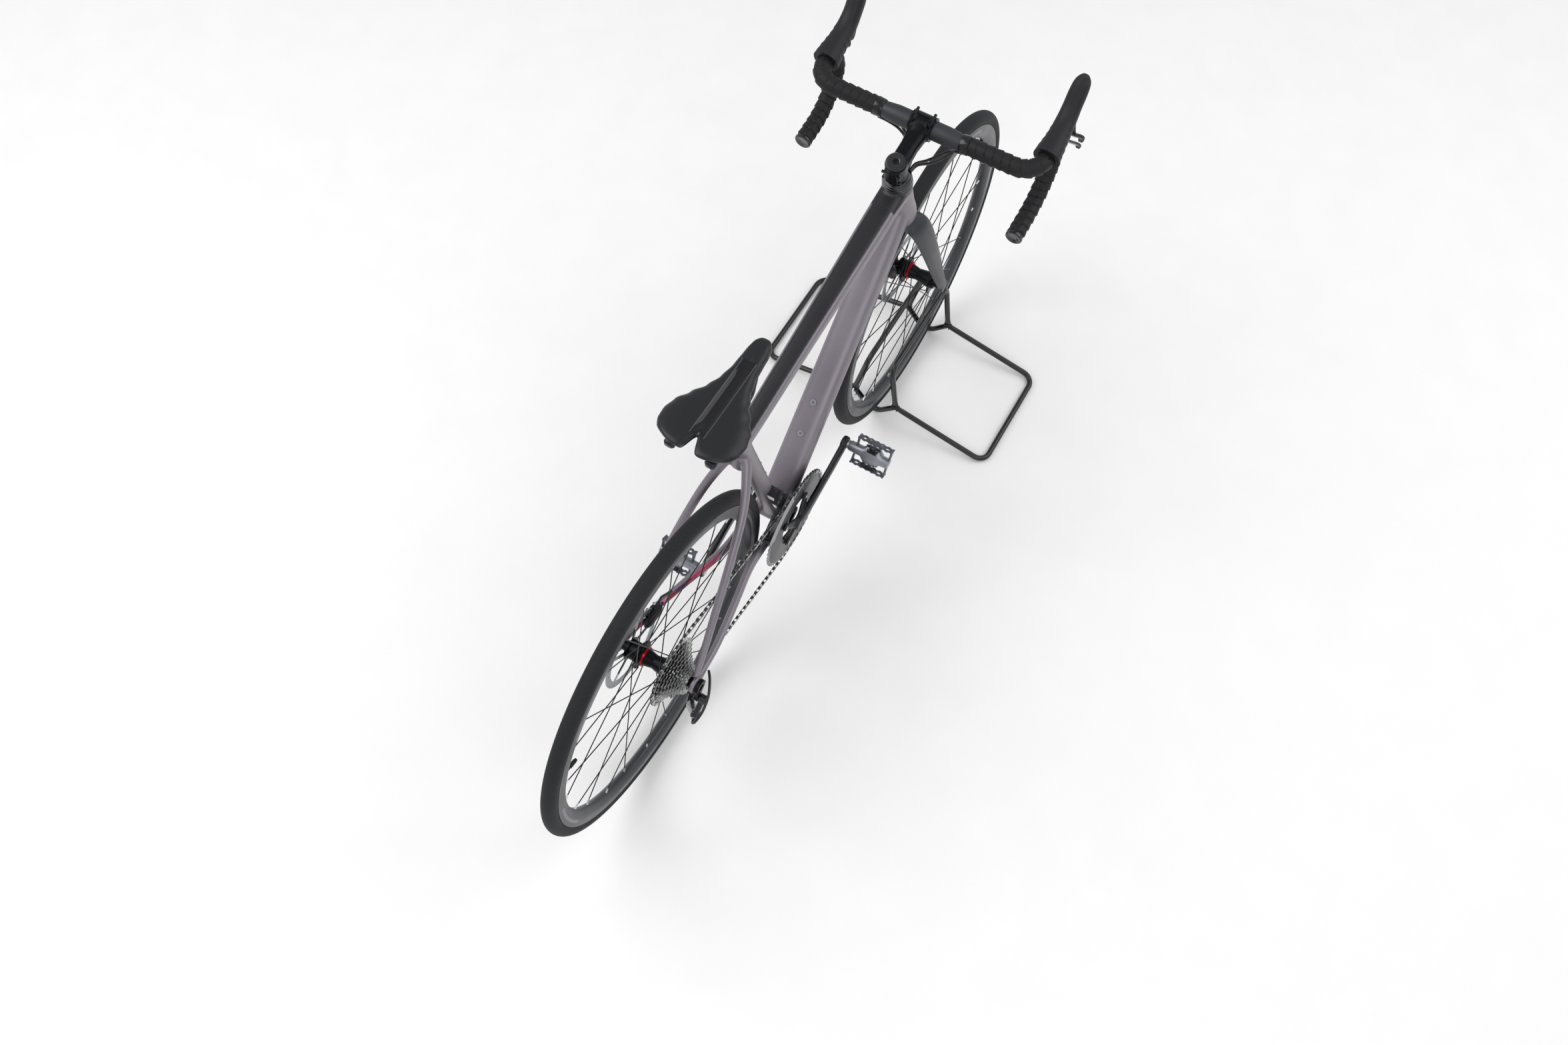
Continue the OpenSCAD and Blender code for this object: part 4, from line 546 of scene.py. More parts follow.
lugs = [drawn("stem", [(bar + side * y + stem_over * z + stem_ahead * t, side * r, stem_over * r) for t,
                       r in ((-11, 3), (-9, 4.4), (2.5, 4.4))], 20)
        for y in (-16, 16) for z in (-19.2, 19.2)]
stem = fused("forged_stem", [clamp, ears, neck, grip] + lugs, 1.3, 4)
carved(stem, turned("bore", bar, [(-40, 0.01), (-40, 15.95), (40, 15.95), (40, 0.01)], 96))
carved(stem, drawn("front", [(bar + stem_ahead * t, side * 60, stem_over * 60) for t in (3, 90)], 4))
carved(stem, drawn("slit", [(in_steer(t, 0, 537), side * 1, steer_up * 24) for t in (-40, -10)], 4))
placed(stem, "fork", black_anodised, "black_alloy", ("stem",), 40)
kept(black_anodised, "stem_faceplate")
kept(forged_black, "stem_bolts")

# ---- Handlebar, tape and end plugs ----
# Drop bar of butted aluminium tube, sand blasted and anodised black. Cork and polymer tape is wound over it in
# overlapping turns, ends under a glossy finishing band near the stem, and is held by a plug in each bar end.


def arc(c, r, a0, a1, n):
    return [(c[0] + r * math.cos(math.radians(a0 + (a1 - a0) * k / n)),
             c[1] + r * math.sin(math.radians(a0 + (a1 - a0) * k / n))) for k in range(n + 1)]


def spaced(points, step):
    """The same line with its points an equal step apart."""
    far = [0]
    for a, b in zip(points, points[1:]):
        far.append(far[-1] + (b - a).length)
    n, out, i = max(2, round(far[-1] / step)), [], 0
    for k in range(n + 1):
        d = far[-1] * k / n
        while i < len(points) - 2 and far[i + 1] < d:
            i += 1
        out.append(points[i].lerp(points[i + 1], (d - far[i]) / max(1e-9, far[i + 1] - far[i])))
    return out


drop = (bar.x + 38, bar.z)
upper = (drop[0], drop[1] - 46)
turn = (upper[0] + 46 * math.cos(math.radians(-20)), upper[1] + 46 * math.sin(math.radians(-20)))
lower = (turn[0] - 86 * math.cos(math.radians(20)), turn[1] + 86 * math.sin(math.radians(20)))
tail_way = Vector((math.cos(math.radians(-172)), 0, math.sin(math.radians(-172))))
corner = [Vector((p[0], p[1], bar.z)) for p in arc((bar.x + 38, 168), 38, 180, 90, 16)]
hooks = [Vector((p[0], 206, p[1])) for p in arc(upper, 46, 90, -20, 24)[1:] + arc(lower, 86, -20, -82, 20)[1:]]
bar_end = hooks[-1] + tail_way * 38
half_bar = [Vector((bar.x, 80, bar.z))] + corner + hooks + [bar_end]
middle_bar = drawn("drop_bar", [(Vector((bar.x, y, bar.z)), Vector((r, 0, 0)), Vector((0, 0, r))) for y, r in
                                ((-82, 12.6), (-74, 13), (-48, 15.8), (-44, 15.9), (44, 15.9), (48, 15.8), (74, 13),
                                 (82, 12.6))], 64)
# Sand blasted anodised tube: even matt black with a fine grain.
blasted = finish("blasted_black_anodising", "#47474a", "#38393b", 0.4, 0.5, 0.2, 0.05, Metallic=0.7)[0]
placed(middle_bar, "fork", blasted, "black_alloy", ("handlebar",), 30)
# Cork tape: matt black with a soft pebbled face.
cork_tape, tree, skin, tint = finish("wound_cork_tape", "#161618", "#0a0a0b", 0.9, 0.6, 0.5, 0.25,
                                     Specular_IOR_Level=0.35)
# Polished electrical tape: thin, smooth and glossy.
band_tape = finish("glossy_finishing_tape", "#111112", "#0a0a0b", 1.5, 0.22, 0.05, 0.05)[0]


def over(o, s):
    """Mirrors a left-hand shape to the right side when s is -1."""
    if s < 0:
        o.data.transform(Matrix.Scale(-1, 4, side))
        o.data.flip_normals()
    return o


line = spaced(half_bar, 1.7)
wraps, bands, plugs = [], [], []
for s in (1, -1):
    wound = drawn("tape", line_rings(line, 1, 1, Vector((1, 0, 0))), 28, swell=lambda i,
                  a: 13.2 + 2.7 * ((i * 1.7 / 15.3 + a / (2 * math.pi)) % 1) ** 0.55)
    wraps.append(over(wound, s))
    bands.append(over(turned("band", Vector((bar.x, 72, bar.z)),
                             [(0, 13.3), (0, 14.6), (1, 15.1), (7, 15.5), (13, 16.1), (14.5, 15.8), (14.5, 12.8)], 48),
                             s))
    plugs.append(over(turned("plug", bar_end,
                             [(0, 0.01), (0, 15.2), (1.2, 15.6), (3.6, 15.2), (5, 13.4), (5.2, 9), (4.4, 7.6),
                              (4.4, 0.01)], 40, tail_way), s))
placed(joined("bar_tape_wraps", wraps), "fork", cork_tape, "bar_tape", ("bar_tape",), 32)
placed(joined("finishing_bands", bands), "fork", band_tape, "gloss_black")
placed(joined("bar_end_plugs", plugs), "fork", moulded_nylon, "matte_black", ("bar_plugs",), 35)

# ---- Brake and shift levers ----
# Rubber hoods are moulded over the lever bodies, ribbed below the thumb and flared where they meet the tape. The
# curved blades are aluminium with a polished front edge, and a small paddle sits behind each.
pivot, blade = spot("brake_left"), spot("shift_lever_left")
tip = Vector((drop[0] + 121, 226, drop[1] - 62))
hood_line = [(drop[0] + x, y, drop[1] + z) for x, y, z in
             ((3, 206, 2), (14, 206, 5), (30, 206, 9), (46, 205.5, 13), (62, 205, 19), (76, 204.5, 28), (89, 204, 42),
              (101, 204, 60), (110, 204.5, 76), (113, 205, 86))]
hood_w = eased([23.4, 22.4, 20.2, 18.6, 17.6, 16.6, 15.8, 15.6, 13.4, 6.5])
hood_d = eased([23, 22, 20, 18.8, 18, 17, 16, 15.6, 13.2, 6])


def ribs(i, a):
    """Waves round the lower body, strongest on the flanks."""
    flank = max(0.0, abs(math.cos(a))) ** 2
    return 1 + (0.028 * flank * math.sin(i * 1.35 + 1.6 * math.sin(a * 2)) if 6 < i < 25 else 0)


hoods = []
# Moulded hood rubber: matt charcoal that is a little shiny where hands rest.
hood_rubber = finish("moulded_hood_rubber", "#1c1c1f", "#111113", 0.7, 0.54, 0.25, 0.15, Specular_IOR_Level=0.35)[0]
# Lever aluminium: satin dark grey; its front edge is polished bare.
lever_grey = finish("satin_grey_aluminium", "#3a3b3f", "#232428", 0.5, 0.32, 0.05, 0.04, Metallic=0.8)[0]
blade_line = curve([pivot + Vector((3, 0, -3)), pivot + Vector((11, 1, -16)), pivot + Vector((15, 3, -34)),
                    pivot + Vector((20, 8, -54)), tip + Vector((3, 0, 14)), tip + Vector((6, 1, 2))])
paddle_line = curve([blade + Vector((-12, -2, -2)), blade + Vector((-11, -1, -16)), blade + Vector((-9, 2, -28)),
                     tip + Vector((-19, 2, 18)), tip + Vector((-18, 4, 10))])
for s, word in ((1, "left"), (-1, "right")):
    hood = drawn("hood", line_rings(curve(hood_line), hood_w, hood_d), 36, 2.25, swell=ribs)
    carved(hood, drawn("bar", line_rings(spaced(half_bar, 4), 16.2, 16.2, Vector((1, 0, 0))), 24))
    carved(hood, drawn("slot", [(pivot + Vector((x, 0, -16)), side * 6.6, Vector((0, 0, 27))) for x in (-8, 52)], 16,
                       5))
    hoods.append(over(hood, s))
    arm = drawn(word + "_brake_blade",
                line_rings(blade_line, eased([5, 7.4, 7.6, 7.2, 6.8, 4.2]), eased([4.6, 4.6, 3.9, 3.5, 3.3, 2.2])), 24,
                2.8)
    placed(over(arm, s), "brake_lever_" + word, lever_grey, "dark_alloy", ("brake_lever_" + word,), 40)
    front_edge = [p + Vector((0.6, 0, 0)) for p in blade_line[4:-2]]
    rim_line = drawn(word + "_blade_edge",
                     line_rings(front_edge, 4.4, [min(4.6, 4.3 - 0.045 * i) for i in range(len(front_edge))]), 16, 2.4)
    placed(over(rim_line, s), "brake_lever_" + word, bright_steel, "silver_steel")
    paddle = drawn(word + "_shift_paddle",
                   line_rings(paddle_line, eased([4.4, 5.4, 6.4, 6.8, 3.6]), eased([2.6, 2.4, 2.2, 2.2, 1.4])), 20, 3)
    placed(over(paddle, s), "shift_paddle_" + word, moulded_nylon, "matte_black", ("shift_paddle_" + word,), 40)
placed(joined("lever_hoods_rubber", hoods), "fork", hood_rubber, "hood_rubber", ("lever_hoods",), 50)
kept(forged_black, "lever_bracket_left", "lever_bracket_right")

# ---- Hoses and shift housing ----
# Black nylon covered hoses, 5 mm thick: two from each side of the bar into the headset port, one out of the
# fork to the front calliper, one to the rear calliper, and the loop of housing to the rear derailleur.
routes = {
    "fork": [[(372, 79, 840), (374, 62, 837), (379, 44, 827), (374, 26, 819), (352, 8, 816), (332, -5, 818),
              (315, -8, 816.5)],
             [(381, 79, 841), (388, 62, 834), (394, 44, 818), (386, 24, 805), (360, 6, 803), (336, -5, 811),
              (317, -8, 811)],
             [(372, -79, 840), (376, -66, 834), (382, -54, 822), (376, -42, 813), (352, -28, 814), (332, -16, 818),
              (315, -14, 816.5)],
             [(381, -79, 841), (392, -68, 831), (398, -58, 812), (388, -46, 799), (362, -32, 801), (337, -18, 811),
              (317, -14, 811)],
             [(411.5, 52.5, 467.5), (408.5, 50.5, 455), (407, 47, 441), (412, 43, 430), (419, 40, 421)]],
    "frame": [[(-360, 57, 326), (-372, 60, 333), (-386, 61, 345), (-400, 58, 352)],
              [(-458, -82, 330), (-474, -94, 336), (-500, -107, 336), (-526, -111, 326), (-544, -107, 311),
               (-546, -101, 299), (-537, -98, 291)]]}
# Extruded nylon jacket: smooth satin black.
hose_jacket = finish("nylon_hose_jacket", "#161618", "#0c0c0d", 1.0, 0.34, 0.06, 0.05)[0]
for body, lines in routes.items():
    tubes = [drawn("hose", line_rings(curve([Vector(p) for p in points], 6), 2.5), 14) for points in lines]
    placed(joined(body + "_hose_set", tubes), body, hose_jacket, "hose_black", (body + "_hoses",), 60)

# ---- Seatpost and saddle ----
# An alloy seatpost carries a cradle that grips the two saddle rails. The saddle is moulded foam under a satin
# synthetic cover on a nylon shell, short nosed, with a recessed glossy channel and a notched tail.
kept(blasted, "seatpost")
kept(forged_black, "saddle_clamp")
pad_low, pad_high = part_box("saddle_pad")
nose, back, crest, half_w = pad_high.x * 1000, pad_low.x * 1000, pad_high.z * 1000, pad_high.y * 1000
long = nose - back
widths = [(0, 0.74), (0.05, 0.9), (0.12, 0.98), (0.2, 1.0), (0.3, 0.93), (0.4, 0.74), (0.5, 0.53), (0.6, 0.395),
          (0.72, 0.315), (0.86, 0.285), (0.94, 0.25), (1, 0.17)]


def width_at(u):
    for (a, p), (b, q) in zip(widths, widths[1:]):
        if u <= b:
            t = (u - a) / (b - a)
            return half_w * (p + (q - p) * t * t * (3 - 2 * t))
    return half_w * widths[-1][1]


def saddle_skin(name, inset, lift, thick, channel, roll):
    """A grid bent to the saddle's outline and crown, with a thickness."""
    bpy.ops.object.select_all(action="DESELECT")
    bpy.ops.mesh.primitive_grid_add(x_subdivisions=84, y_subdivisions=56, size=2)
    o = bpy.context.object
    o.name = o.data.name = name
    for v in o.data.vertices:
        u, w = (v.co.x + 1) / 2, v.co.y
        notch = 30 * math.exp(-(w / 0.17) ** 2) + 9 * abs(w) ** 6
        tip = 4.5 * abs(w) ** 3
        x = back + inset + (notch) * (1 - u) ** 1.5 + (long - 2 * inset) * u - tip * u ** 6
        y = (width_at(u) - inset) * w * (1 - 0.22 * max(0, (0.07 - u) / 0.07) ** 2)
        dip = channel * math.exp(-(y / 10.5) ** 4) * min(1, max(0, (u - 0.06) / 0.1)) * min(1, max(0, (0.8 - u) / 0.16))
        wing = 3.5 * math.exp(-((u - 0.1) / 0.16) ** 2) * abs(w)
        end = 7 * max(0, (u - 0.9) / 0.1) ** 3 + 4.5 * max(0, (0.05 - u) / 0.05) ** 2
        crown = 2.4 * w * w + roll * abs(w) ** 7
        sag = 1.6 * math.sin(math.pi * min(1, u * 1.1)) + 2.5 * u
        z = crest - lift - 2.2 + wing - dip - crown - end - sag
        v.co = Vector((x, y, min(z, crest - lift))) * 0.001
    solid = o.modifiers.new("wall", "SOLIDIFY")
    solid.thickness, solid.offset = thick * 0.001, -1
    even = o.modifiers.new("even", "SMOOTH")
    even.factor, even.iterations = 0.5, 5
    soft = o.modifiers.new("soft", "SUBSURF")
    soft.levels = soft.render_levels = 1
    return applied(o)


pad = saddle_skin("saddle_cover", 0, 0, 6, 4.6, 12)
# Synthetic leather: satin near black with a fine grain; the channel is smooth and glossy and its piping paler.
cover_hide, tree, skin, tint = finish("satin_saddle_cover", "#15161a", "#0d0e11", 0.7, 0.4, 0.22, 0.12,
                                      Specular_IOR_Level=0.4)
at = add(tree, "SeparateXYZ", {0: add(tree, "TexCoord").outputs["Object"]})
off = add(tree, "Math", {0: at.outputs[1]}, operation="ABSOLUTE")
along = between(tree, at.outputs[0], (back + 30) * 0.001, (nose - 52) * 0.001)
panel = painted(tree, skin, tint, "#0e0e10", [between(tree, off.outputs[0], -1, 0.0105), along])
painted(tree, skin, panel, "#4b4c52", [between(tree, off.outputs[0], 0.0112, 0.0124), along])
shine = add(tree, "Math", {0: between(tree, off.outputs[0], -1, 0.0105), 1: along}, operation="MULTIPLY")
sheen = add(tree, "MapRange", {0: shine.outputs[0]}, {3: 0.4, 4: 0.13})
tree.links.new(sheen.outputs[0], skin.inputs["Roughness"])
placed(pad, "saddle", cover_hide, "saddle_cover", ("saddle_pad",), 60)
base = saddle_skin("saddle_base", 3.5, 8.5, 5.5, 3, 9)
placed(base, "saddle", moulded_nylon, "matte_black", ("saddle_shell",), 60)
rest = spot("saddle_tilt")
mid_x = rest.x - 4.0
rails = []
for s in (1, -1):
    bend = curve([(mid_x - 88, s * 34, 852), (mid_x - 78, s * 33, 851), (mid_x - 58, s * 27, 846),
                  (mid_x - 42, s * 22, 842), (mid_x, s * 22, 842),
                  (mid_x + 42, s * 22, 842), (mid_x + 62, s * 17, 846), (mid_x + 82, s * 11, 853),
                  (mid_x + 92, s * 9, 856)])
    rails.append(drawn("rail", line_rings(bend, 3.5), 20))
    rails.append(drawn("socket", [(Vector((mid_x - 96 + t, s * 34.5, 854)), side * r * 1.3, Vector((0, 0, r))) for t,
                                  r in ((0, 5), (3, 7), (16, 7), (20, 5))], 20, 3))
placed(joined("saddle_rails_bent", rails), "saddle", lever_grey, "silver_steel", ("saddle_rails",), 60)
# ---- Cranks and chainrings ----
# Forged hollow aluminium arms on a steel axle, dark grey with a satin face; the right arm carries four unequal
# spider arms that hold two machined chainrings with four bolts.


def disc(name, middle, y0, y1, r, soft=1.0, sides=40):
    """A round boss across the bicycle with eased edges."""
    way = 1 if y1 > y0 else -1
    return drawn(name, [(Vector((middle.x, y, middle.z)), Vector((q, 0, 0)), Vector((0, 0, q))) for y, q in
                        ((y0, r - soft), (y0 + way * soft, r), (y1 - way * soft, r), (y1, r - soft))], sides)


def crank_arm(s, eye):
    out = Vector((eye.x - crank.x, 0, eye.z - crank.z)).normalized()
    across = out.cross(side)
    stations = ((-12, 58.5, 13, 4.4), (4, 60, 18.6, 6.2), (30, 61.5, 15.8, 6.4), (70, 63.5, 12.6, 6.3),
                (120, 65.6, 12.2, 6.4),
                (160, 66.6, 13, 6.3), (178, 66.6, 11, 6), (185.2, 66.6, 6.5, 4.6))
    rings = [(crank + out * t + side * s * y, across * w, side * d) for t, y, w, d in stations]
    return [drawn("arm", rings, 32, 2.7), disc("arm", eye, s * 60.2, s * 72.6, 12.8, 1.6),
            disc("arm", crank, s * 52, s * 64.5, 19, 1.8)]


eyes = {1: spot("pedal_left_spin"), -1: spot("pedal_right_spin")}
lift = math.atan2(eyes[-1].z - crank.z, eyes[-1].x - crank.x)
right = crank_arm(-1, eyes[-1])
for a in (30, 115, 210, 295):
    out = Vector((math.cos(lift + math.radians(a)), 0, math.sin(lift + math.radians(a))))
    rings = [(crank + out * t + side * y, out.cross(side) * w, side * d) for t, y, w, d in
             ((6, -56, 13, 4), (20, -55, 10.5, 4.2), (40, -52.6, 8.4, 3.6), (56, -51.4, 8, 2.8), (61, -51.2, 5.5, 2.4))]
    right.append(drawn("arm", rings, 24, 2.6))
arms = [fused("arms", right, 1.4, 4), fused("arms", crank_arm(1, eyes[1]), 1.4, 4), disc("arms", crank, -60, 60, 12)]
for s in (1, -1):
    arms.append(turned("arms", crank + side * s * 60,
                       [(4.4, 0.01), (4.4, 6), (5.4, 6.8), (5.4, 11.4), (4.2, 12), (3.4, 12), (3.4, 0.01)], 40,
                       side * s))
crank_set = joined("forged_cranks", arms)
for s in (1, -1):
    carved(crank_set, turned("eye", Vector((eyes[s].x, s * 66, eyes[s].z)),
                             [(-9, 0.01), (-9, 7.15), (9, 7.15), (9, 0.01)], 40))
# Forged and painted arm: satin dark grey, slightly worn brighter where shoes rub.
crank_paint, tree, skin, tint = finish("satin_crank_paint", "#2c2d31", "#1a1b1d", 0.6, 0.34, 0.05, 0.04, Metallic=0.5)
placed(crank_set, "crank", crank_paint, "dark_alloy", ("crankset",), 40)
# Machined ring aluminium: mid grey, hard anodised, with brighter cut teeth.
ring_alloy, tree, skin, tint = finish("hard_anodised_ring", "#3c3d41", "#27282b", 0.3, 0.34, 0.1, 0.03, Metallic=0.8)
at = add(tree, "SeparateXYZ", {0: add(tree, "Mapping", {0: add(tree, "TexCoord").outputs["Object"]},
                                      {1: (-crank.x * 0.001, 0, -crank.z * 0.001)}).outputs[0]})
far = add(tree, "Math", {0: add(tree, "Math", {0: at.outputs[0]}, {1: 2}, operation="POWER").outputs[0],
                         1: add(tree, "Math", {0: at.outputs[2]}, {1: 2}, operation="POWER").outputs[0]},
                         operation="ADD")
painted(tree, skin, tint, "#9fa1a5", [between(tree, far.outputs[0], 0.0972 ** 2, 0.2 ** 2)])
kept(ring_alloy, "chainrings")
kept(bright_steel, "pedal_spindles")
covers = [turned("ring_bolt", crank + Vector((math.cos(lift + math.radians(a)), 0,
                                              math.sin(lift + math.radians(a)))) * 55 - side * 54.2,
                 [(-0.5, 0.01), (-0.5, 4.2), (0.6, 4.6), (1, 4), (1, 2.6), (0.2, 2.4), (0.2, 0.01)], 20,
                 side * -1) for a in (30, 115, 210, 295)]
placed(joined("chainring_bolts", covers), "crank", bright_steel, "silver_steel")

# ---- Pedals ----
# Clip-in trail pedals: a cast aluminium body on a steel spindle, a scalloped cage plate round it held by two
# screws, and a sprung wire binding with its coil on both faces.
# Cast and tumbled aluminium: bluish grey with a dull sheen. The cage is darker and the binding is blued steel.
cast_alloy = finish("cast_pedal_aluminium", "#a3a6ab", "#7d8086", 0.7, 0.36, 0.15, 0.08, Metallic=0.85)[0]
cage_alloy = finish("cage_plate_aluminium", "#6f747c", "#4d5158", 0.6, 0.4, 0.15, 0.06, Metallic=0.8)[0]
blued_steel = finish("blued_binding_steel", "#303136", "#1a1b1e", 0.4, 0.28, 0.05, 0.03, Metallic=0.9)[0]
ex, ey, ez = Vector((1, 0, 0)), Vector((0, 1, 0)), Vector((0, 0, 1))


def scalloped(x):
    """One end plate of the cage, its long edges cut into shallow teeth."""
    bpy.ops.object.select_all(action="DESELECT")
    bpy.ops.object.add(type="MESH")
    o = bpy.context.object
    bpy.ops.object.mode_set(mode="EDIT")
    bm = bmesh.from_edit_mesh(o.data)
    top = [(89 + 72 * k / 36, 8.6 - (2.2 if k % 6 in (2, 3, 4) else 0)) for k in range(37)]
    edge = top + [(y, -z) for y, z in reversed(top)]
    bm.faces.new([bm.verts.new(Vector((x - 1.5, y, z)) * 0.001) for y, z in edge])
    bm.faces.ensure_lookup_table()
    for f in bm.faces:
        f.select = True
    bmesh.update_edit_mesh(o.data)
    bpy.ops.mesh.extrude_region_move(TRANSFORM_OT_translate={"value": (0.003, 0, 0)})
    bpy.ops.mesh.select_all(action="SELECT")
    bpy.ops.mesh.normals_make_consistent(inside=False)
    bpy.ops.object.mode_set(mode="OBJECT")
    for y in (101, 149):
        carved(o, turned("hole", Vector((x, y, 0)), [(-4, 0.01), (-4, 4.2), (4, 4.2), (4, 0.01)], 24, ex))
    return o


tilt = Matrix.Rotation(-math.radians(62), 4, "Y")
for s, word in ((1, "left"), (-1, "right")):
    cages = [scalloped(x) for x in (-28.5, 28.5)]
    cages += [drawn("side", [(Vector((x, y, 0)), ey * 1.8, ez * h) for x,
                             h in ((-29, 7.4), (-16, 5.6), (16, 5.6), (29, 7.4))], 20, 4) for y in (91, 159)]
    body = [drawn("body", [(Vector((0, y, 0)), ex * w, ez * d) for y, w,
                           d in ((77.5, 8.4, 8.4), (79, 9.6, 9.6), (104, 10, 9.8), (110, 17, 10.4), (113, 20, 11),
                                                                             (137, 20, 11), (140, 17, 10.4),
                                                                             (146, 10, 9.8), (160, 9.4, 9.4),
                                                                             (161.2, 8.2, 8.2))], 32, 2.5)]
    body.append(turned("body", Vector((0, 161, 0)), [(0, 0.01), (0, 6), (-0.3, 7.8), (-1, 8.2), (-1, 0.01)], 32, ey))
    body += [turned("body", Vector((x, y, 0)), [(0, 0.01), (0, 2.6), (1.4, 2.4), (1.4, 1.2), (0.5, 0.01)], 16,
                    ex * f) for x, f in ((-30, -1), (30, 1)) for y in (113, 137)]
    wires = []
    for f in (1, -1):
        hook = curve([(f * 21, 112, f * 6), (f * 25, 113, f * 11.5), (f * 24, 119, f * 12.6),
                      (f * 19.5, 125, f * 12.9), (f * 24, 131, f * 12.6), (f * 25, 137, f * 11.5),
                      (f * 21, 138, f * 6)], 5)
        wires.append(drawn("wire", line_rings(hook, 1.9), 12))
        bail = curve([(-f * 16, 113, f * 11), (-f * 21, 114, f * 12.4), (-f * 22.5, 119, f * 12.8),
                      (-f * 22.5, 131, f * 12.8), (-f * 21, 136, f * 12.4), (-f * 16, 137, f * 11)], 5)
        wires.append(drawn("wire", line_rings(bail, 1.7), 12))
        coil = [Vector((f * 14 + 3.6 * math.cos(0.9 * k), 115 + 20 * k / 50,
                        f * 10 + 3.6 * math.sin(0.9 * k))) for k in range(51)]
        wires.append(drawn("wire", line_rings(coil, 1.1), 8))
    for parts, name, material, slot_name, node in ((cages, "pedal_cage_", cage_alloy, "pedal_alloy", ()),
                                                   (body, "pedal_body_", cast_alloy, "pedal_alloy", ("pedal_" + word,)),
                                                   (wires, "pedal_binding_", blued_steel, "black_alloy", ())):
        o = joined(name + word, parts)
        if name == "pedal_body_":
            carved(o, turned("bore", Vector((0, 110, 0)), [(-60, 0.01), (-60, 6.1), (31, 6.1), (31, 0.01)], 32, ey))
        over(o, s)
        o.data.transform(Matrix.Translation(Vector((eyes[s].x, 0, eyes[s].z)) * 0.001) @ tilt)
        placed(o, "pedal_" + word, material, slot_name, node, 40)

# ---- Chain ----
# Each link is a pair of stamped steel plates on 12.7 mm pitch, waisted between its pins, with the plates of the
# outer links lying over those of the inner ones. It runs from the big ring through the cage to the big sprocket.
rollers = {"ring": (Vector((crank.x, -47, crank.z)), -6.35 / math.sin(math.pi / 50)),
           "low": (spot("tension_pulley_spin"), -6.35 / math.sin(math.pi / 11)),
           "high": (spot("guide_pulley_spin"), 6.35 / math.sin(math.pi / 11)),
           "cog": (rear.copy(), -6.35 / math.sin(math.pi / 32))}
for key in ("low", "high", "cog"):
    rollers[key][0].y = -29.5
loop = list(rollers.values())


def way(a, b):
    """Heading of the straight run between two rollers."""
    d = b[0] - a[0]
    return math.atan2(d.z, d.x) - math.asin((b[1] - a[1]) / math.hypot(d.x, d.z))


def edge(c, a):
    return c[0] - Vector((-math.sin(a), 0, math.cos(a))) * c[1]


track = []
for i, here in enumerate(loop):
    a0, a1 = way(loop[i - 1], here), way(here, loop[(i + 1) % 4])
    swing = (a1 - a0) % (2 * math.pi) if here[1] > 0 else -((a0 - a1) % (2 * math.pi))
    track += [edge(here, a0 + swing * k / 40) for k in range(41)]
    p, q = track[-1], edge(loop[(i + 1) % 4], a1)
    n = (q - p).length
    if abs(q.y - p.y) > 1:
        track += [p.lerp(q, 42 / n) + side * (p.y - p.lerp(q, 42 / n).y),
                  p.lerp(q, 1 - 42 / n) + side * (q.y - p.lerp(q, 1 - 42 / n).y)]
pins = spaced(track + [track[0]], 12.7)[:-1]
pins = pins if len(pins) % 2 == 0 else spaced(track + [track[0]], 12.7 * len(pins) / (len(pins) - 1))[:-1]


def link(wide):
    """One plate pair and a roller, its pins on X at 0 and 12.7."""
    half, gap, thin = (3.9, 2.0, 0.75) if wide else (4.1, 1.15, 0.75)
    parts = []
    for f in (1, -1):
        rings = [(Vector((x, f * (gap + thin / 2), 0)), ey * thin / 2, ez * h) for x,
                 h in ((-3.6, 1.6), (-2.2, half - 0.5), (0.6, half), (4, 2.7), (8.7, 2.7), (12.1, half),
                       (14.9, half - 0.5), (16.3, 1.6))]
        parts.append(drawn("link", rings, 6, 4))
    parts.append(drawn("link", [(Vector((0, y, 0)), ex * r, ez * r) for y, r in ((-gap - 1, 1.7), (gap + 1, 1.7))], 8))
    if not wide:
        parts.append(drawn("link", [(Vector((0, y, 0)), ex * 3.6, ez * 3.6) for y in (-1.1, 1.1)], 10))
        parts.append(drawn("link", [(Vector((12.7, y, 0)), ex * 3.6, ez * 3.6) for y in (-1.1, 1.1)], 10))
    return joined("link", parts)


shelf = {True: [], False: []}
for i, p in enumerate(pins):
    q = pins[(i + 1) % len(pins)]
    x = (q - p).normalized()
    y = (side - x * side.dot(x)).normalized()
    m = Matrix((x, y, x.cross(y))).transposed().to_4x4()
    m.translation = p
    shelf[i % 2 == 0].append(m)
# Chain steel: nickel plated outer plates and darker, oiled inner ones.
plated = finish("nickel_plated_steel", "#c4c4c3", "#8d8d8c", 0.5, 0.25, 0.06, 0.03, Metallic=1.0)[0]
oiled = finish("oiled_dark_steel", "#6a6967", "#38383a", 0.5, 0.34, 0.06, 0.03, Metallic=1.0)[0]
placed(copies("chain_outer_links", link(True), shelf[True]), "frame", plated, "chain_steel", ("chain_plates",))
placed(copies("chain_inner_links", link(False), shelf[False]), "frame", oiled, "chain_steel", ("chain_rollers",))

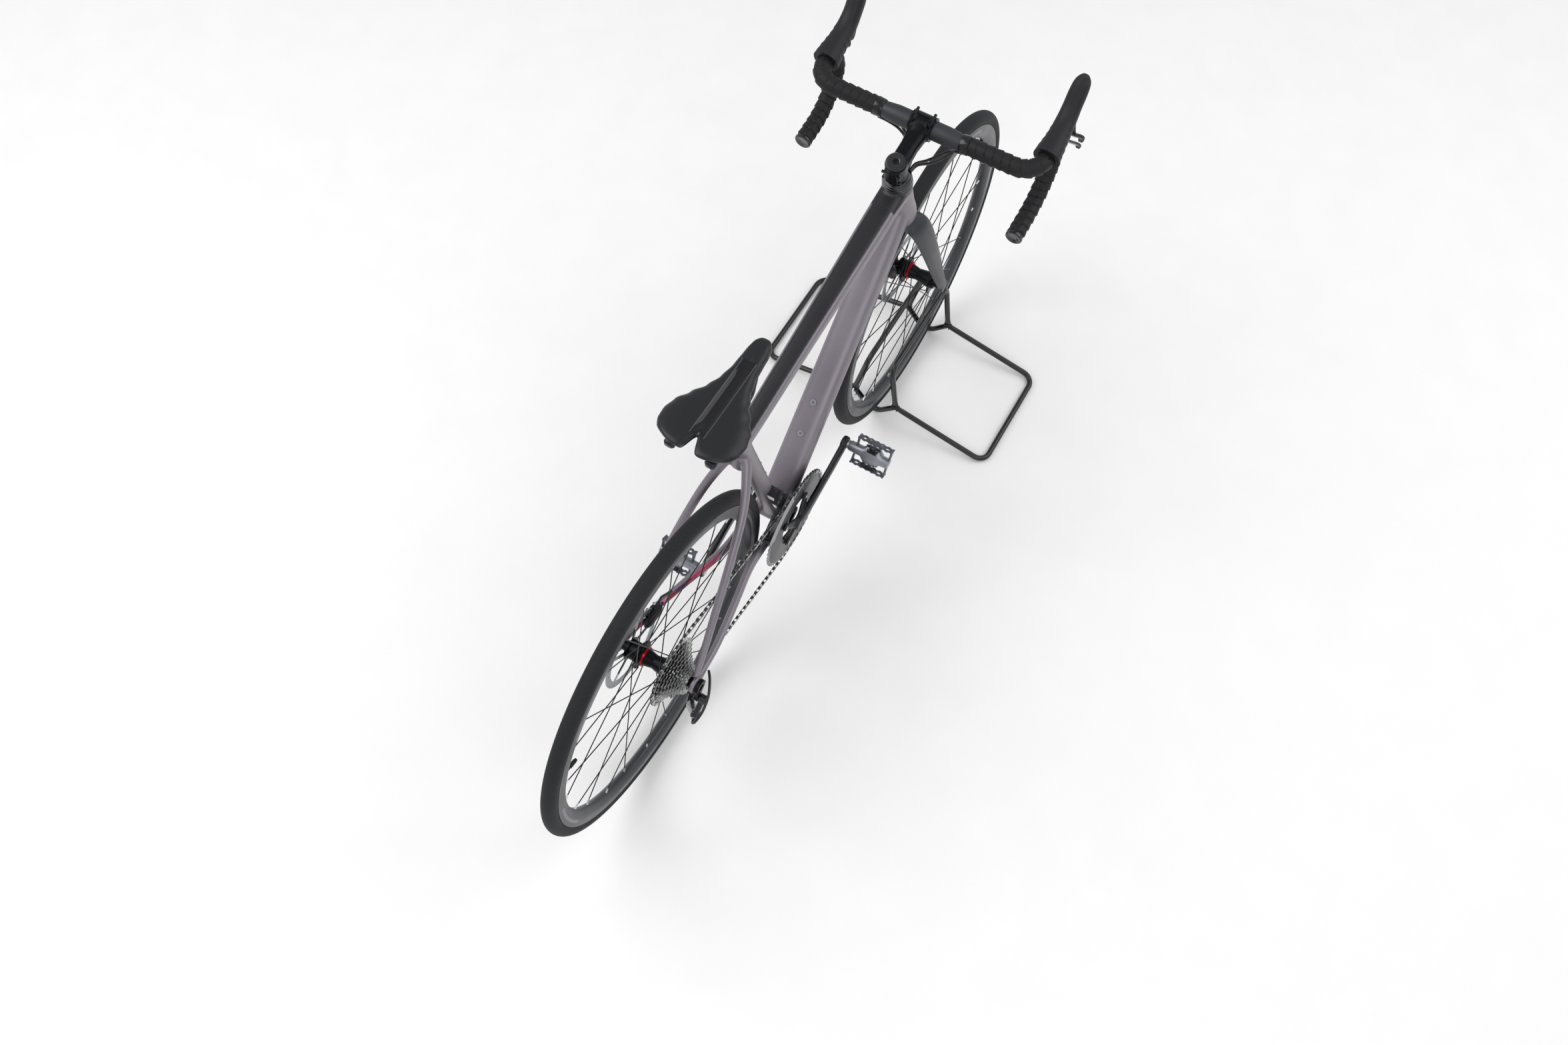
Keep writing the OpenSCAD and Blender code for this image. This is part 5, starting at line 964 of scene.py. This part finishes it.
# ---- Cassette and derailleurs ----
# Eleven stamped sprockets in bright nickel plate. The rear derailleur is a glossy dark parallelogram between two
# knuckles, with a polished cage and two nylon pulleys; the front one pushes the chain with a steel cage.
kept(plated, "cassette")
kept(moulded_nylon, "guide_pulley", "tension_pulley")
tension = spot("tension_pulley_spin")
guide = spot("guide_pulley_spin")
upper_k = Vector((rear.x - 8, -97, rear.z - 28))
lower_k = Vector((tension.x - 34, -58, tension.z + 44))
elbow = upper_k + Vector((-24, 2, -24))
swing = lower_k + Vector((-21, -6, -2))
parts = [disc("rear", upper_k, upper_k.y - 7.6, upper_k.y + 7, 9, 1.4),
         disc("rear", elbow, elbow.y - 8, elbow.y + 7, 8.4, 1.6),
         disc("rear", lower_k, lower_k.y - 11, lower_k.y + 4.4, 11.4, 1.8)]
for a, b, w0, w1, d in ((upper_k, elbow, 8, 7.4, 6), (elbow, swing, 8.4, 9.6, 6.4), (swing, lower_k, 8.6, 9.4, 7)):
    lead = (b - a).cross(side).normalized()
    parts.append(drawn("rear", line_rings([a, a.lerp(b, 0.3), a.lerp(b, 0.7), b], [w0, w0 * 0.94, w1 * 0.94, w1], d,
                                          lead), 24, 2.8))
# Glossy dark resin and painted aluminium: deep grey with a clear sheen.
gear_gloss = finish("glossy_gear_paint", "#34353a", "#1b1c1f", 0.7, 0.18, 0.04, 0.04, Metallic=0.5, Coat_Weight=0.5,
                    Coat_Roughness=0.06)[0]
placed(fused("rear_derailleur_body", parts, 1.1, 4), "frame", gear_gloss, "gloss_black", ("rear_derailleur",), 50)
kept(gear_gloss, "derailleur_cage", "front_derailleur")
bits = [turned("bolt", at, [(0, 0.01), (0, r), (1.4, r - 0.4), (1.4, r * 0.5), (0.3, r * 0.45), (0.3, 0.01)], 24,
               side * -1) for at, r in
        ((upper_k - side * 7.6, 5.6), (elbow - side * 8, 3.4), (lower_k - side * 11, 5),
         (Vector((tension.x, -36.4, tension.z)), 4), (Vector((guide.x, -36.4, guide.z)), 4))]
bits.append(turned("barrel", Vector((-537, -98, 291)),
                   [(-2, 3.2), (-2, 4.4), (4, 4.6), (8, 4), (9, 3), (9, 2.6), (-2, 2.6)], 16,
                   Vector((0.65, 0.1, -0.75)).normalized()))
placed(joined("derailleur_screws", bits), "frame", bright_steel, "silver_steel")

# ---- Wheel stand ----
# Low stand bent from 12 mm steel tube: a foot loop on the floor and a rail loop by the wheel on each side, and two
# cross bars that dip under the tyre. All are flattened and welded together at four points, then enamelled black.
low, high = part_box("wheel_stand")
half_l, half_w, rail_z = (high.x - low.x) * 500 - 6, high.y * 1000 - 6, high.z * 1000 - 6
weld_y, weld_z, rail_y = 51, 48, 28


def side_loop(reach_y, reach_z, bend):
    """Half of the line from one weld out round a loop and back to the other weld."""
    reach = math.hypot(reach_y, reach_z)
    flat = [(half_l, 0)] + arc((half_l - bend, reach - bend), bend, 0, 90, 10)
    flat += [(-a, b) for a, b in reversed(flat)]
    return [Vector((front.x + a, weld_y + b * reach_y / reach, weld_z + b * reach_z / reach)) for a, b in flat]


tubes = []
for line in (side_loop(half_w - weld_y, 6 - weld_z, 26), side_loop(rail_y - weld_y, rail_z - weld_z, 22)):
    fine = spaced(line, 5)
    ends = [min(1, 0.62 + 0.38 * min(i, len(fine) - 1 - i) / 4) for i in range(len(fine))]
    for s in (1, -1):
        tubes.append(over(drawn("tube",
                                line_rings(fine, [6.0 / max(0.8, e) for e in ends], [6.0 * e for e in ends],
                                           Vector((0, 0, 1))), 20), s))
below = math.hypot(weld_y, weld_z - 36)
first = math.degrees(math.atan2(weld_z - 36, weld_y) - math.acos(30 / below))
for x in (-half_l, half_l):
    dip = [(weld_y, weld_z)] + arc((0, 36), 30, first, -180 - first, 20) + [(-weld_y, weld_z)]
    fine = spaced([Vector((front.x + x, a, b)) for a, b in dip], 4)
    tubes.append(drawn("tube", line_rings(fine, 5.92, 5.92, ex), 20))
beads = []
for s in (1, -1):
    for x in (-half_l, half_l):
        at = Vector((front.x + x, s * weld_y, weld_z))
        for way_y, way_z in ((half_w - weld_y, 6 - weld_z), (rail_y - weld_y, rail_z - weld_z), (-weld_y * 0.9, -20)):
            out = Vector((0, s * way_y, way_z)).normalized()
            seam = [at + out * 6.2 + (ex * math.cos(k * math.pi / 12) + out.cross(ex) * math.sin(k * math.pi / 12)) * 6.1
                    for k in range(25)]
            beads.append(drawn("bead", line_rings(seam, [1.5 + 0.35 * math.sin(k * 2.1) for k in range(25)]), 10))
# Baked gloss enamel on steel: deep black that mirrors lamps softly, with slight orange peel.
enamel = finish("baked_black_enamel", "#0d0d0e", "#070708", 1.4, 0.3, 0.12, 0.06, Coat_Weight=0.15,
                Coat_Roughness=0.1)[0]
placed(joined("stand_tubes", tubes), "wheel_stand", enamel, "stand_enamel", ("wheel_stand",), 50)
placed(joined("stand_welds", beads), "wheel_stand", enamel, "stand_enamel", (), 60)
# ---- Floor, light and camera ----
# A plain pale studio floor, two large soft lights and a weak fill; the camera looks down from behind on the right.
bpy.ops.object.select_all(action="DESELECT")
bpy.ops.mesh.primitive_grid_add(x_subdivisions=12, y_subdivisions=12, size=14)
floor = bpy.context.object
floor.name = "studio_floor"
paper = finish("pale_studio_paper", "#f4f3f1", "#efeeec", 2, 0.7, 0.02, 0.05)[0]
floor.data.materials.append(paper)
world = bpy.data.worlds.new("studio")
bpy.context.scene.world = world
world.use_nodes = True
world.node_tree.nodes["Background"].inputs[0].default_value = (0.95, 0.96, 1, 1)
world.node_tree.nodes["Background"].inputs[1].default_value = 0.62
for name, at, size, power in (("key", (-1.2, 2.4, 3.6), 3.0, 85), ("fill", (1.8, -2.2, 3.0), 3.2, 50),
                              ("back", (-2.6, -1.8, 2.6), 2.4, 28)):
    lamp = bpy.data.lights.new(name, "AREA")
    lamp.size, lamp.energy = size, power
    o = bpy.data.objects.new(name, lamp)
    bpy.context.scene.collection.objects.link(o)
    o.location = at
    o.rotation_euler = (Vector((0, 0, 0.4)) - Vector(at)).to_track_quat("-Z", "Y").to_euler()
bpy.context.scene.view_settings.view_transform = "Standard"
lens = bpy.data.cameras.new("camera")
lens.lens, lens.sensor_width, lens.shift_x, lens.shift_y = 29.7, 36, 0.0070, 0.0261
camera = bpy.data.objects.new("camera", lens)
bpy.context.scene.collection.objects.link(camera)
bpy.context.scene.camera = camera
ahead = Vector((0.381, 0.201, -0.902)).normalized()
right = (Vector((0.503, -0.864, 0.020)) - ahead * Vector((0.503, -0.864, 0.020)).dot(ahead)).normalized()
camera.matrix_world = Matrix((right, right.cross(ahead), -ahead)).transposed().to_4x4()
camera.location = (-1.122, -0.550, 2.467)

bpy.context.view_layer.update()
